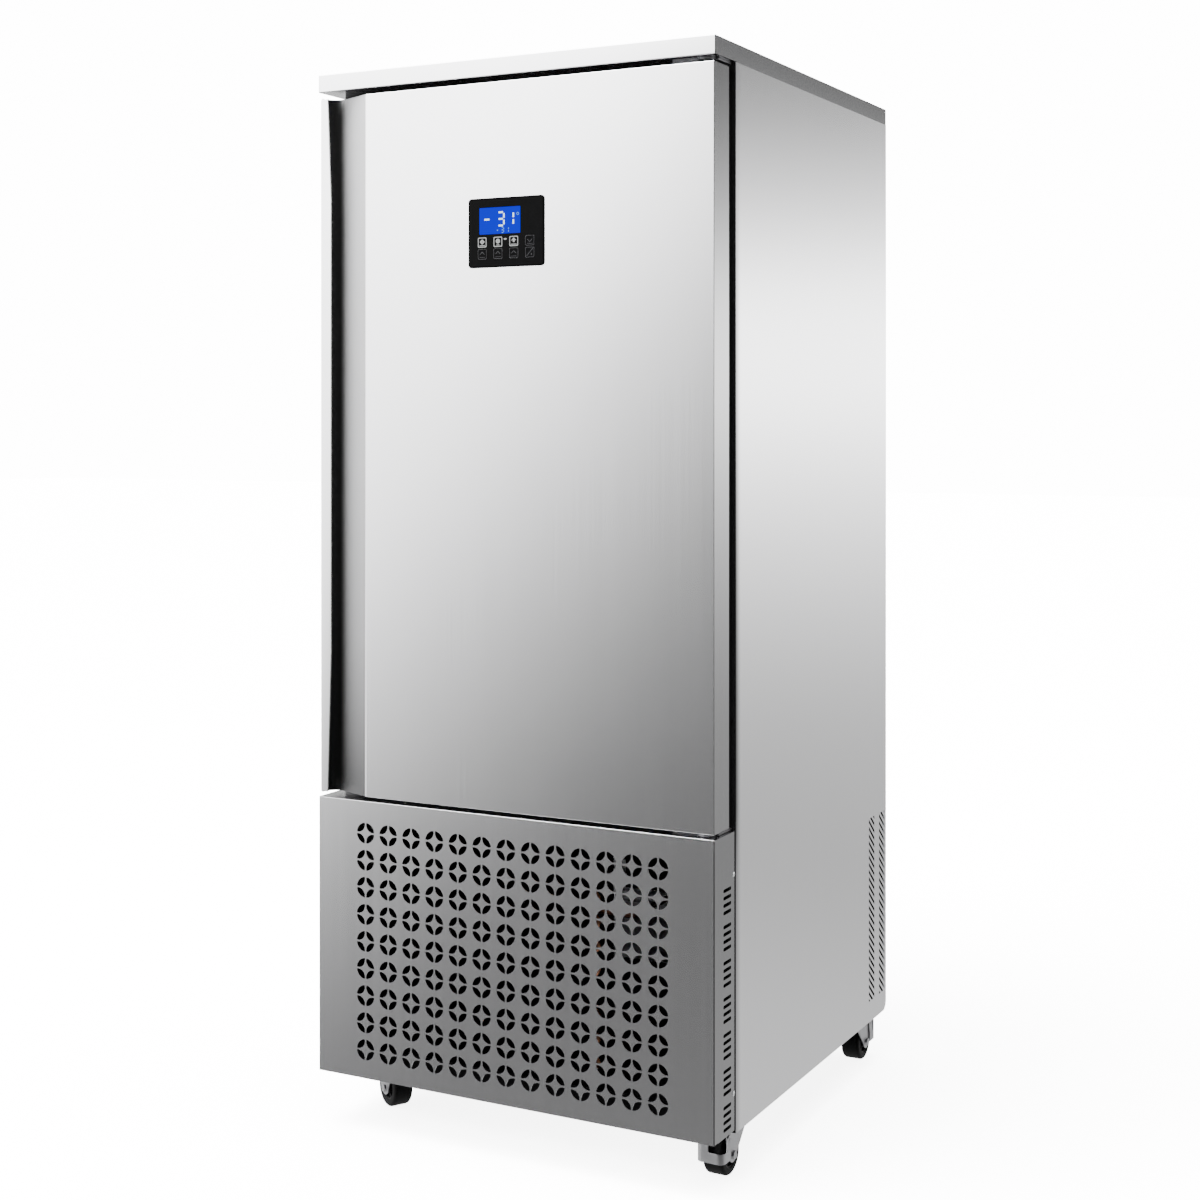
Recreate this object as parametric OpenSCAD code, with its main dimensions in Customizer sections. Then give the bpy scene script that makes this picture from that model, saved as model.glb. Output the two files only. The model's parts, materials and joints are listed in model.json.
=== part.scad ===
// Blast chiller: an upright, insulated stainless steel cabinet on four casters.
// One hinged door closes the tray chamber; the cooling machine sits in the bay below it.
// Origin: centre of the cabinet's footprint, on the floor. The door faces -Y. Millimetres.

/* [Cabinet] */
// Overall width, across the side panels
cabinet_w = 800; // [720:1:900]
// Overall depth, across the top cover
cabinet_d = 850; // [780:1:950]
// Overall height, floor to the top of the cover
cabinet_h = 1930; // [1850:1:2050]
// Height of the folded top cover
cover_h = 32; // [24:1:50]
// Depth of the door zone, in front of the cabinet's own face
door_zone = 84; // [80:1:96]
// Thickness of the stainless sheets
sheet = 1; // [0.8:0.1:1.5]
// Thickness of the foamed walls, the sheets not counted
wall = 58; // [50:1:65]
// How far the back panel lies inside the side panels' rear edges
back_inset = 12; // [10:1:20]
// Radius of the side panels' lower rear corner
panel_corner_r = 18; // [8:1:30]
// Width of the side panels' rear flange
rear_flange = 16; // [10:1:25]
// Thickness of the front frame around the chamber
frame_t = 2; // [1.5:0.1:4]
// Depth of the front frame's bar below the chamber floor
frame_drop = 40; // [30:1:50]

/* [Chamber] */
// Height of the chamber floor above the door's lower edge
floor_rise = 54; // [50:1:70]
// Radius of the chamber's rounded corners
chamber_r = 15; // [8:1:25]
// Height left free above the topmost tray level
tray_headroom = 80; // [75:1:100]
// Height from one tray level to the next
tray_pitch = 70; // [60:1:72]
// Height of the lowest tray level above the chamber floor
tray_rise = 88; // [70:1:100]
// Width left beside the trays for the slides and their posts
rack_room = 38; // [30:1:42]
// Length of the tray slides
slide_len = 410; // [380:1:430]
// Width of a slide's ledge
slide_ledge = 22; // [15:1:26]
// Height of a slide's upright leg
slide_leg = 16; // [10:1:20]
// Distance of the slides behind the front frame
slide_setback = 30; // [20:1:50]

/* [Air system] */
// Distance from the chamber's rear wall to the fan panel
air_bay = 203; // [195:1:215]
// Height left free for air below and above the fan panel
air_gap = 60; // [40:1:80]
// Radius of the chamber fans' blades
evap_fan_r = 140; // [110:1:150]
// Distance between the two chamber fans
evap_fan_pitch = 560; // [420:1:600]
// Radius of the fan motors
motor_r = 38; // [30:1:45]
// Length of the fan motors
motor_len = 50; // [40:1:54]
// Radius of the motor shafts
shaft_r = 4; // [3:0.5:6]
// Depth of the chamber coil
evap_coil_d = 70; // [50:1:74]

/* [Door] */
// Thickness of the door
door_t = 60; // [54:1:66]
// Gap between the door and the top cover
door_gap_top = 10.5; // [8:0.5:14]
// Gap between the door and the grille panel
door_gap_low = 7.5; // [7:0.5:12]
// How far the door's handle side lies inside the cabinet's side
door_inset_left = 4; // [2:0.5:8]
// How far the door's hinge side lies inside the cabinet's side
door_inset_right = 3; // [2:0.5:8]
// How far the door's face lies behind the cover's front
door_setback = 2; // [2:0.1:6]
// Distance of the hinge pivot from the door's side and face
pivot_inset = 25; // [20:1:27]
// Radius of the hinge pins
hinge_pin_r = 5; // [4:0.5:7]
// Length of a hinge pin inside the door
hinge_pin_len = 28; // [20:1:40]
// Thickness of the hinge brackets
bracket_t = 4; // [3:0.5:4.5]
// Width of the gasket
gasket_w = 24; // [20:1:26]

/* [Handle recess] */
// Width of the recess, from the crease to the lip's outer side
recess_w = 100; // [90:1:130]
// Angle of the sloping face
recess_slope = 22.5; // [18:0.5:26]
// Radius of the round finger pocket
pocket_r = 22; // [18:1:26]
// Thickness of the lip and of the door's hemmed edge
lip_t = 3; // [2:0.1:4]
// Width of the lip at its two ends
lip_end_w = 16; // [12:1:20]
// Width of the lip in its middle
lip_mid_w = 23; // [20:1:26]

/* [Control panel] */
// Width of the black front plate
control_w = 153; // [140:1:180]
// Height of the black front plate
control_h = 122; // [115:1:140]
// Height of the plate's centre below the door's top edge
control_drop = 264.5; // [180:0.5:600]
// Corner radius of the front plate
control_r = 6.5; // [3:0.5:12]
// Thickness of the front plate
control_t = 1.8; // [1.5:0.1:1.8]
// Width of the display window
lcd_w = 83; // [60:1:100]
// Height of the display window
lcd_h = 46.5; // [30:0.5:48]
// Side of a key
key_size = 18.5; // [15:0.5:20]
// Distance between neighbouring keys of a row
key_pitch_x = 32; // [24:0.5:34]
// Distance between the two rows of keys
key_pitch_z = 20.6; // [20:0.1:24]
// Travel of a key
key_travel = 0.5; // [0.3:0.1:0.6]

/* [Grille panel] */
// Height of the panel's top edge
bay_top = 602.5; // [560:0.5:620]
// Height of the panel's bottom edge
grille_bottom = 99; // [97:1:110]
// Number of ornaments across
motifs_x = 13; // [6:1:13]
// Number of ornaments down
motifs_z = 9; // [4:1:9]
// Distance between ornaments
motif_pitch = 49.2; // [44:0.1:50]
// Height of the lowest row above the panel's bottom edge
motif_rise = 52; // [40:1:60]
// Outer radius of an ornament
motif_r = 17.5; // [14:0.5:19]
// Width of a petal at its middle
petal_w = 9; // [7:0.5:10]
// Half of the gap between two petals, seen from the ornament's centre, in degrees
petal_gap = 7.4; // [5:0.1:12]
// Number of slot groups down each side of the panel
slot_groups = 7; // [3:1:7]
// Number of slots in a group
slots_per_group = 4; // [2:1:4]
// Distance between slots of a group
slot_pitch = 12.3; // [11:0.1:13]
// Distance between groups
slot_group_pitch = 60.3; // [56:0.1:64]
// Height of a slot
slot_h = 6; // [4:0.5:8]
// Length of a slot
slot_len = 32; // [20:1:40]

/* [Louvres] */
// Height of the louvre field
louvre_h = 366; // [200:1:380]
// Width of a louvre column
louvre_w = 33; // [25:1:40]
// Distance between the two columns
louvre_column_pitch = 61; // [50:1:66]
// Distance between slots of a column
louvre_pitch = 14.3; // [12:0.1:20]
// Width of a slot
louvre_slot = 5.5; // [4:0.5:7]
// Slope of the slots, in degrees
louvre_slope = 40; // [25:1:45]
// Height of the field's lower edge
louvre_bottom = 134; // [125:1:180]

/* [Casters] */
// Height of the cabinet's underside above the floor
caster_h = 93; // [90:1:94]
// Radius of a wheel
wheel_r = 36; // [32:0.5:36]
// Width of a wheel
wheel_w = 38; // [26:1:42]
// Distance from the swivel axis to the wheel's axle
trail = 28; // [24:1:32]
// Distance of the swivel axes from the base's edges, across
caster_inset_x = 48; // [44:1:90]
// Distance of the swivel axes from the base's edges, front to back
caster_inset_y = 77; // [70:1:110]
// Radius of the wheels' axles
axle_r = 4; // [3:0.5:6]

/* [Machine bay] */
// Radius of the compressor's shell
compressor_r = 92; // [70:1:105]
// Height of the compressor's shell
compressor_h = 215; // [160:1:260]
// Width of the condenser coil
condenser_w = 440; // [360:1:460]
// Height of the condenser coil
condenser_h = 420; // [380:1:430]
// Depth of the condenser coil
condenser_d = 70; // [50:1:80]
// Radius of the condenser fan's blades
cond_fan_r = 150; // [120:1:165]
// Radius of the liquid receiver
receiver_r = 48; // [35:1:60]
// Height of the liquid receiver
receiver_h = 230; // [160:1:280]

/* [Hidden] */
$fn = 64;

steel = [0.74, 0.75, 0.76];
zinc = [0.62, 0.63, 0.64];
black = [0.05, 0.05, 0.055];
copper = [0.72, 0.43, 0.30];

// clearances
seat = 0.05;       // between pieces that are fixed to each other
running = 0.05;    // radial, between a shaft and its bore
free = 0.3;        // between pieces that move past each other

// cabinet
half_w = cabinet_w / 2;
front_y = -cabinet_d / 2;
rear_y = cabinet_d / 2;
face_y = front_y + door_zone;
back_y = rear_y - back_inset;
cover_z = cabinet_h - cover_h;
inner_x = half_w - sheet;
foam_front = face_y + frame_t;
foam_back = back_y - sheet;
foam_bottom = bay_top - 2.5;

// door
door_z0 = bay_top + door_gap_low;
door_z1 = cover_z - door_gap_top;
door_x0 = -half_w + door_inset_left;
door_x1 = half_w - door_inset_right;
door_y0 = front_y + door_setback;
door_y1 = door_y0 + door_t;
pivot_x = door_x1 - pivot_inset;
pivot_y = door_y0 + pivot_inset;

// chamber
chamber_x = inner_x - wall - sheet;
chamber_y1 = foam_back - wall - sheet;
chamber_z0 = door_z0 + floor_rise;
chamber_z1 = cover_z - wall - sheet;
coil_x = chamber_x - 42;
coil_y1 = chamber_y1 - 20;
coil_y0 = coil_y1 - evap_coil_d;
coil_z0 = chamber_z0 + 46;
coil_z1 = chamber_z1 - 46;
gasket_x = chamber_x + gasket_w + 4;
gasket_z0 = chamber_z0 - gasket_w - 4;
gasket_z1 = chamber_z1 + gasket_w + 4;
gasket_gap = 0.4;  // between the closed door's gasket and the front frame

// ---------- shared shapes ----------

// Box from its lowest to its highest corner
module block(a, b) translate(a) cube(b - a);

// Flat outline in X and Z, t thick behind the plane y
module plate_xz(y, t) translate([0, y + t, 0]) rotate([90, 0, 0]) linear_extrude(t) children();

// Flat outline in Y and Z, t thick from the plane x towards +X
module plate_yz(x, t) translate([x, 0, 0]) rotate([90, 0, 90]) linear_extrude(t) children();

// Cylinder along Y from y0 to y1
module rod_y(r, x, y0, y1, z) translate([x, y1, z]) rotate([90, 0, 0]) cylinder(r = r, h = y1 - y0);

// Cylinder along X from x0 to x1
module rod_x(r, x0, x1, y, z) translate([x0, y, z]) rotate([0, 90, 0]) cylinder(r = r, h = x1 - x0);

// Rectangle with round corners, from corner a to corner b
module round_rect(a, b, r) {
    translate([a.x + r, a.y]) square([b.x - a.x - 2 * r, b.y - a.y]);
    translate([a.x, a.y + r]) square([b.x - a.x, b.y - a.y - 2 * r]);
    for (x = [a.x + r, b.x - r], y = [a.y + r, b.y - r]) translate([x, y]) circle(r);
}

// Tube through a list of points, with round elbows
module pipe(points, r) {
    for (i = [0 : len(points) - 2]) {
        run = points[i + 1] - points[i];
        translate(points[i])
            rotate([0, acos(run.z / norm(run)), atan2(run.y, run.x)]) cylinder(r = r, h = norm(run));
    }
    for (i = [1 : 1 : len(points) - 2]) translate(points[i]) sphere(r);
}

// ---------- cabinet shell ----------

// Folded cover: a top sheet, four skirts and a closed underside over the door
module top_cover() color(steel) {
    difference() {
        block([-half_w, front_y, cover_z], [half_w, rear_y, cabinet_h]);
        block([-inner_x, front_y + sheet, cover_z + sheet], [inner_x, rear_y - sheet, cabinet_h - sheet]);
        block([-inner_x, foam_front, cover_z - 1], [inner_x, back_y - sheet, cover_z + 2 * sheet]);
    }
}

// Slanting slots of one louvre column, cut off level at both ends
module louvre_column(y0) {
    rise = louvre_w * tan(louvre_slope);
    count = ceil((louvre_h + rise) / louvre_pitch);
    intersection() {
        translate([y0, louvre_bottom]) square([louvre_w, louvre_h]);
        for (i = [0 : count])
            translate([y0, louvre_bottom + i * louvre_pitch])
                rotate(-louvre_slope)
                    translate([-louvre_slot, 0])
                        square([louvre_w / cos(louvre_slope) + 2 * louvre_slot, louvre_slot]);
    }
}

louvre_edge = 10;  // from the side panel's rear edge to the nearer column

// Outline of a side panel in Y and Z, with its louvres
module side_outline() {
    difference() {
        union() {
            translate([face_y, caster_h]) square([rear_y - face_y - panel_corner_r, cover_z - caster_h]);
            translate([face_y, caster_h + panel_corner_r])
                square([rear_y - face_y, cover_z - caster_h - panel_corner_r]);
            translate([rear_y - panel_corner_r, caster_h + panel_corner_r]) circle(panel_corner_r);
        }
        for (column = [0, 1]) louvre_column(rear_y - louvre_edge - louvre_w - column * louvre_column_pitch);
    }
}

module side_panel(side) color(steel) {
    plate_yz(side > 0 ? inner_x : -half_w, sheet) side_outline();
    flange_x = inner_x - rear_flange;
    block([side > 0 ? flange_x : -inner_x - sheet / 2, rear_y - sheet, caster_h + 2 * panel_corner_r],
          [side > 0 ? inner_x + sheet / 2 : -flange_x, rear_y, cover_z]);
}

vent_z0 = 240;
vent_w = 84;
vent_h = 8;
vent_pitch = 22;

// Rear sheet with a field of air slots behind the machine bay
module back_panel() color(zinc) {
    plate_xz(back_y - sheet, sheet) difference() {
        translate([-inner_x + seat, caster_h + panel_corner_r])
            square([2 * (inner_x - seat), cover_z - caster_h - panel_corner_r]);
        for (x = [-200 : 100 : 200], z = [vent_z0 : vent_pitch : foam_bottom - 80])
            translate([x, z]) round_rect([-vent_w / 2, -vent_h / 2], [vent_w / 2, vent_h / 2], vent_h / 2 - 0.1);
        translate([gland_x, gland_z]) circle(gland_r + seat);
    }
}

pipe_hole = [coil_x - 28, coil_y1 - 15];
drain_hole = [98 - coil_x, coil_y1 - 33];
pipe_hole_r = 22;
drain_r = 12;

module floor_holes(z0, z1) {
    translate([pipe_hole.x, pipe_hole.y, z0]) cylinder(r = pipe_hole_r, h = z1 - z0);
    translate([drain_hole.x, drain_hole.y, z0]) cylinder(r = drain_r + seat, h = z1 - z0);
}

// Foamed walls around the chamber, open at the front
module insulation_shell() color([0.93, 0.87, 0.62]) {
    difference() {
        block([-inner_x, foam_front, foam_bottom], [inner_x, foam_back, cover_z]);
        plate_xz(foam_front - 1, chamber_y1 + sheet - foam_front + 1)
            round_rect([-chamber_x - sheet, chamber_z0 - sheet], [chamber_x + sheet, chamber_z1 + sheet],
                       chamber_r + sheet);
        floor_holes(foam_bottom - 1, chamber_z0);
    }
}

// Seamless inner box with rounded corners
module chamber_liner() color(steel) {
    difference() {
        plate_xz(foam_front, chamber_y1 + sheet - foam_front)
            round_rect([-chamber_x - sheet, chamber_z0 - sheet], [chamber_x + sheet, chamber_z1 + sheet],
                       chamber_r + sheet);
        plate_xz(foam_front - 1, chamber_y1 - foam_front + 1)
            round_rect([-chamber_x, chamber_z0], [chamber_x, chamber_z1], chamber_r);
        floor_holes(chamber_z0 - 2 * sheet, chamber_z0 + sheet);
    }
}

// Face of the cabinet around the chamber, which the gasket closes on
module front_frame() color([0.2, 0.21, 0.22]) {
    plate_xz(face_y, frame_t) difference() {
        translate([-inner_x, foam_bottom - frame_drop]) square([2 * inner_x, cover_z - foam_bottom + frame_drop]);
        round_rect([-chamber_x, chamber_z0], [chamber_x, chamber_z1], chamber_r);
    }
}

tray_edge = 30;
tray_t = 2;
post = 24;
post_t = 2;

// Floor of the machine bay, with upturned edges
module base_tray() color(zinc) {
    difference() {
        block([-inner_x, face_y, caster_h], [inner_x, foam_back, caster_h + tray_edge]);
        block([-inner_x + tray_t, face_y + tray_t, caster_h + tray_t],
              [inner_x - tray_t, foam_back - tray_t, caster_h + tray_edge + 1]);
    }
}

// Angle post: one leaf against the side, one leaf square to it
module angle_post(x, y, side, end, z0) {
    // outer corner at (x, y); side and end say which way it faces
    difference() {
        block([min(x, x - side * post), min(y, y - end * post), z0],
              [max(x, x - side * post), max(y, y - end * post), foam_bottom]);
        xi = x - side * post_t;
        yi = y - end * post_t;
        block([min(xi, xi - side * post), min(yi, yi - end * post), z0 - 1],
              [max(xi, xi - side * post), max(yi, yi - end * post), foam_bottom + 1]);
    }
}

// Posts of the bay: the rear pair stands in the tray, the front pair carries the grille panel
module frame_posts() color(zinc) for (side = [-1, 1]) {
    angle_post(side * (inner_x - tray_t), foam_back - tray_t, side, 1, caster_h + tray_t);
    difference() {
        angle_post(side * (return_x - sheet), face_y, side, 1, grille_bottom + sheet + free);
        for (z = screw_z) rod_x(screw_shank_r + seat, min(0, side * half_w), max(0, side * half_w), screw_y, z);
    }
}

// ---------- front grille panel ----------

return_gap = 0.4;
return_x = inner_x - return_gap;
return_end = face_y - seat;
screw_y = face_y - 7;
screw_z = [grille_bottom + 63, bay_top - 71.5];
screw_r = 4.5;
screw_shank_r = 1.9;

// One petal: the part of the ornament's circle that a smaller circle on its diagonal overlaps
module petal() {
    tip = 45 - petal_gap;
    chord = motif_r * sin(tip);
    mid = motif_r * cos(tip);
    sag = petal_w - (motif_r - mid);
    inner_r = (chord * chord + sag * sag) / (2 * sag);
    intersection() {
        circle(motif_r);
        translate([(mid - sag + inner_r) / sqrt(2), (mid - sag + inner_r) / sqrt(2)]) circle(inner_r);
    }
}

module motif() for (turn = [0 : 90 : 270]) rotate(turn) petal();

// Side of the panel, folded back, with its groups of slots
module grille_return(x) {
    slot_top = bay_top - 92;
    plate_yz(x, sheet) difference() {
        translate([front_y, grille_bottom]) square([return_end - front_y, bay_top - grille_bottom]);
        for (g = [0 : slot_groups - 1], s = [0 : slots_per_group - 1])
            translate([front_y + 51.5, slot_top - g * slot_group_pitch - s * slot_pitch])
                round_rect([-slot_len / 2, -slot_h / 2], [slot_len / 2, slot_h / 2], slot_h / 2 - 0.1);
        for (z = screw_z) translate([screw_y, z]) circle(screw_shank_r + free);
    }
}

// Folded sheet with pierced ornaments, closing the machine bay
module front_grille() color([0.6, 0.61, 0.62]) {
    plate_xz(front_y, sheet) difference() {
        translate([-return_x, grille_bottom]) square([2 * return_x, bay_top - grille_bottom]);
        for (i = [0 : motifs_x - 1], j = [0 : motifs_z - 1])
            translate([(i - (motifs_x - 1) / 2) * motif_pitch, grille_bottom + motif_rise + j * motif_pitch])
                motif();
    }
    grille_return(-return_x);
    grille_return(return_x - sheet);
    block([-return_x, front_y, bay_top - sheet], [return_x, face_y - 5, bay_top]);
    block([-return_x, front_y, grille_bottom], [return_x, front_y + 14, grille_bottom + sheet]);
}

// Pan-head screw along X, its head's flat side at x
module side_screw(x, y, z, side) {
    head = half_w - return_x;
    translate([x, y, z]) rotate([0, side * 90, 0]) {
        cylinder(r1 = screw_r, r2 = screw_r - 1, h = head);
        translate([0, 0, -8]) cylinder(r = screw_shank_r, h = 8);
    }
}

// Screws of the grille panel
module panel_screws() color([0.8, 0.8, 0.8])
    for (side = [-1, 1], z = screw_z) side_screw(side * return_x, screw_y, z, side);

// ---------- hinges ----------

bush_r = hinge_pin_r + 4;
bush_flange_r = bush_r + 3;
bush_flange_t = 2.5;
bracket_x0 = pivot_x - 66;
bracket_x1 = pivot_x + 20;
bracket_top_z = cover_z - bracket_t;
bracket_low_z = door_z0 - bush_flange_t - free;

// Outline of a bracket from above, rounded around its pin
module bracket_plan() {
    translate([bracket_x0, pivot_y + 6]) square([bracket_x1 - bracket_x0, face_y - pivot_y - 6]);
    translate([pivot_x - 14, pivot_y]) square([28, 20]);
    translate([pivot_x, pivot_y]) circle(14);
}

// Upper bracket under the cover and lower bracket on the front frame, each with its pin
module hinge_brackets() color(zinc) {
    translate([0, 0, bracket_top_z]) linear_extrude(bracket_t) bracket_plan();
    translate([pivot_x, pivot_y, door_z1 - hinge_pin_len])
        cylinder(r = hinge_pin_r, h = bracket_top_z + 1 - door_z1 + hinge_pin_len);
    translate([0, 0, bracket_low_z - bracket_t]) linear_extrude(bracket_t) bracket_plan();
    translate([pivot_x, pivot_y, bracket_low_z - 1])
        cylinder(r = hinge_pin_r, h = door_z0 + hinge_pin_len - bracket_low_z + 1);
    block([bracket_x0, face_y - 3, foam_bottom - frame_drop + 3],
          [return_x - sheet - post - 2, face_y, bracket_low_z]);
}

// Flanged bushes in the door's two ends
module hinge_bushes() color([0.85, 0.85, 0.8]) for (end = [0, 1]) {
    bush_len = hinge_pin_len + 2;
    z = end ? door_z1 : door_z0;
    dir = end ? -1 : 1;
    difference() {
        union() {
            translate([pivot_x, pivot_y, min(z, z + dir * bush_len)]) cylinder(r = bush_r, h = bush_len);
            translate([pivot_x, pivot_y, min(z, z - dir * bush_flange_t)])
                cylinder(r = bush_flange_r, h = bush_flange_t);
        }
        translate([pivot_x, pivot_y, z - bush_len - 1])
            cylinder(r = hinge_pin_r + running, h = 2 * bush_len + 2);
    }
}

// ---------- chamber fittings ----------

slide_x = chamber_x - rack_room;
tray_levels = 1 + floor((chamber_z1 - chamber_z0 - tray_rise - tray_headroom) / tray_pitch);
post_leg = 12;     // width of a rack's post
post_d = 16;       // depth of a rack's post
slide_y0 = foam_front + slide_setback;
rail_post_y = [slide_y0 + 40, slide_y0 + slide_len - 60];

// Two posts pegged to the chamber's side wall, with one slide for each tray level
module tray_rack(side) color(steel) {
    post_x = slide_x + sheet + seat;
    top_z = chamber_z0 + tray_rise + (tray_levels - 1) * tray_pitch;
    mirror([side > 0 ? 0 : 1, 0, 0]) {
        for (level = [0 : tray_levels - 1]) {
            z = chamber_z0 + tray_rise + level * tray_pitch;
            block([slide_x, slide_y0, z], [slide_x + sheet, slide_y0 + slide_len, z + slide_leg]);
            block([slide_x - slide_ledge, slide_y0, z], [slide_x + sheet, slide_y0 + slide_len, z + sheet]);
        }
        for (y = rail_post_y) {
            block([post_x, y, chamber_z0 + 20], [post_x + post_leg, y + post_d, top_z + 40]);
            for (z = [chamber_z0 + 60, top_z + 10])
                rod_x(5, post_x + post_leg / 2, chamber_x - seat, y + post_d / 2, z);
        }
    }
}

panel_y = chamber_y1 - air_bay;
evap_fan_z = [(chamber_z0 + chamber_z1 - evap_fan_pitch) / 2, (chamber_z0 + chamber_z1 + evap_fan_pitch) / 2];
fan_tip_gap = 7;
fan_y0 = panel_y + 12;
fan_depth = 30;
motor_y0 = fan_y0 + fan_depth + 3;
motor_leg_x = evap_fan_r + fan_tip_gap + 8;

// Panel that divides the tray space from the coil, with a ring for each fan
module fan_panel() color(steel) {
    z0 = chamber_z0 + air_gap;
    z1 = chamber_z1 - air_gap;
    difference() {
        union() {
            block([-chamber_x + seat, panel_y, z0], [chamber_x - seat, panel_y + 1.5, z1]);
            for (side = [-1, 1]) block([side * (chamber_x - seat) - (side > 0 ? 1.5 : 0), panel_y, z0],
                                       [side * (chamber_x - seat) + (side > 0 ? 0 : 1.5), panel_y + 22, z1]);
            for (z = evap_fan_z) rod_y(evap_fan_r + fan_tip_gap + 2, 0, panel_y, panel_y + 14, z);
        }
        for (z = evap_fan_z) rod_y(evap_fan_r + fan_tip_gap, 0, panel_y - 1, panel_y + 15, z);
    }
}

// Wire ring along Y
module wire_ring(r, y, z, wire_r) translate([0, y, z]) rotate([90, 0, 0])
    rotate_extrude() translate([r, 0]) circle(wire_r, $fn = 16);

// Wire guards on the front of the fan panel: rings welded to three long spokes
module fan_guards() color(steel) for (z = evap_fan_z) {
    wire_r = 2;
    rim = evap_fan_r + fan_tip_gap;
    spoke_y = panel_y - wire_r - seat;
    for (r = [rim : -26 : 30]) wire_ring(r, spoke_y - 1.4 * wire_r, z, wire_r);
    for (turn = [0 : 60 : 120]) translate([0, spoke_y, z]) rotate([0, turn, 0])
        rod_x(wire_r, -rim - 8, rim + 8, 0, 0);
}

// Two motors, each on a bracket that straddles its fan
module chamber_fan_motors() color([0.18, 0.18, 0.2]) for (z = evap_fan_z) {
    rod_y(motor_r, 0, motor_y0, motor_y0 + motor_len, z);
    rod_y(shaft_r, 0, fan_y0 + 4, motor_y0 + 1, z);
    block([-motor_leg_x - 3, motor_y0 + motor_len - 3, z - 15], [motor_leg_x + 3, motor_y0 + motor_len, z + 15]);
    for (side = [-1, 1]) block([side * motor_leg_x - 3, panel_y + 1.5, z - 15],
                               [side * motor_leg_x + 3, motor_y0 + motor_len, z + 15]);
}

// Axial fan along Y, its blades from y0 to y0 + depth
module axial_fan(x, z, y0, depth, r, blades) {
    hub_r = r * 0.2;
    difference() {
        union() {
            rod_y(hub_r, x, y0, y0 + depth, z);
            intersection() {
                rod_y(r, x, y0, y0 + depth, z);
                for (i = [0 : blades - 1]) translate([x, y0 + depth / 2, z]) rotate([0, i * 360 / blades, 0])
                    translate([hub_r - 4, 0, 0]) rotate([32, 0, 0]) block([0, -1, -r * 0.36], [r, 1, r * 0.36]);
            }
        }
        rod_y(shaft_r + running, x, y0 - 1, y0 + depth + 1, z);
    }
}

module chamber_fan(i) color([0.15, 0.15, 0.16]) axial_fan(0, evap_fan_z[i], fan_y0, fan_depth, evap_fan_r, 5);

// Height of a coil's return bend; a half number lies midway between two bends
function bend_z(z0, z1, bend_rows, i) = z0 + 20 + (i + 0.5) * (z1 - z0 - 40) / bend_rows;

// Finned block between two end plates, with return bends on its sides
module finned_coil(x0, x1, y0, y1, z0, z1, fins, bend_rows) {
    end_t = 2;
    fin_pitch = (x1 - x0 - 2 * end_t) / (2 * fins);
    color([0.8, 0.82, 0.84]) difference() {
        block([x0 + end_t, y0 + 3, z0 + 6], [x1 - end_t, y1 - 3, z1 - 6]);
        for (i = [0 : fins - 1]) block([x0 + end_t + (2 * i + 0.5) * fin_pitch, y0, z0],
                                       [x0 + end_t + (2 * i + 1.5) * fin_pitch, y0 + 14, z1]);
    }
    for (x = [x0, x1 - end_t]) color(zinc) block([x, y0, z0], [x + end_t, y1, z1]);
    bend_pitch = (z1 - z0 - 40) / bend_rows;
    color(copper) for (i = [0 : bend_rows - 1], side = [0, 1]) {
        z = bend_z(z0, z1, bend_rows, i);
        x = side ? x1 - seat : x0 + seat;
        translate([x, (y0 + y1) / 2, z]) rotate([0, 0, side ? 0 : 180]) rotate([90, 0, 0]) rotate([0, 0, -90])
            rotate_extrude(angle = 180) translate([bend_pitch / 4, 0]) circle(4.5, $fn = 20);
    }
}

module evaporator_coil() {
    finned_coil(-coil_x, coil_x, coil_y0, coil_y1, coil_z0, coil_z1, 30, 14);
    color(zinc) for (x = [-coil_x, coil_x - 20], z = [chamber_z0 + 120, chamber_z1 - 160])
        block([x, coil_y1 - 2, z], [x + 20, chamber_y1 - seat, z + 30]);
}

// Pan under the coil, with its outlet through the floor
module drip_tray() color(steel) {
    z0 = chamber_z0 + 6;
    z1 = chamber_z0 + 30;
    y0 = coil_y0 - 6;
    y1 = chamber_y1 - seat;
    difference() {
        union() {
            block([-coil_x - 10, y0, z0], [coil_x + 10, y1, z1]);
            translate([drain_hole.x, drain_hole.y, foam_bottom - 70])
                cylinder(r = drain_r, h = z0 - foam_bottom + 71);
        }
        block([-coil_x - 9, y0 + sheet, z0 + sheet], [coil_x + 9, y1 - sheet, z1 + 1]);
        translate([drain_hole.x, drain_hole.y, foam_bottom - 71])
            cylinder(r = drain_r - 1.5, h = z0 - foam_bottom + 80);
        translate([pipe_hole.x, pipe_hole.y, z0 - 1]) cylinder(r = pipe_hole_r, h = z1);
    }
    color(steel) difference() {
        translate([pipe_hole.x, pipe_hole.y, z0]) cylinder(r = pipe_hole_r + sheet, h = z1 - z0);
        translate([pipe_hole.x, pipe_hole.y, z0 - 1]) cylinder(r = pipe_hole_r, h = z1);
    }
}

// ---------- machine bay ----------

bay_floor = caster_h + tray_t;
comp_x = inner_x - compressor_r - 92;
comp_y = foam_back - compressor_r - 70;
foot_h = 22;
foot_plate = compressor_r + 6;
foot_pitch = compressor_r - 10;
terminal_w = 52;
terminal_h = 62;
foot_plate_t = 4;
comp_z = bay_floor + foot_h;

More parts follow.
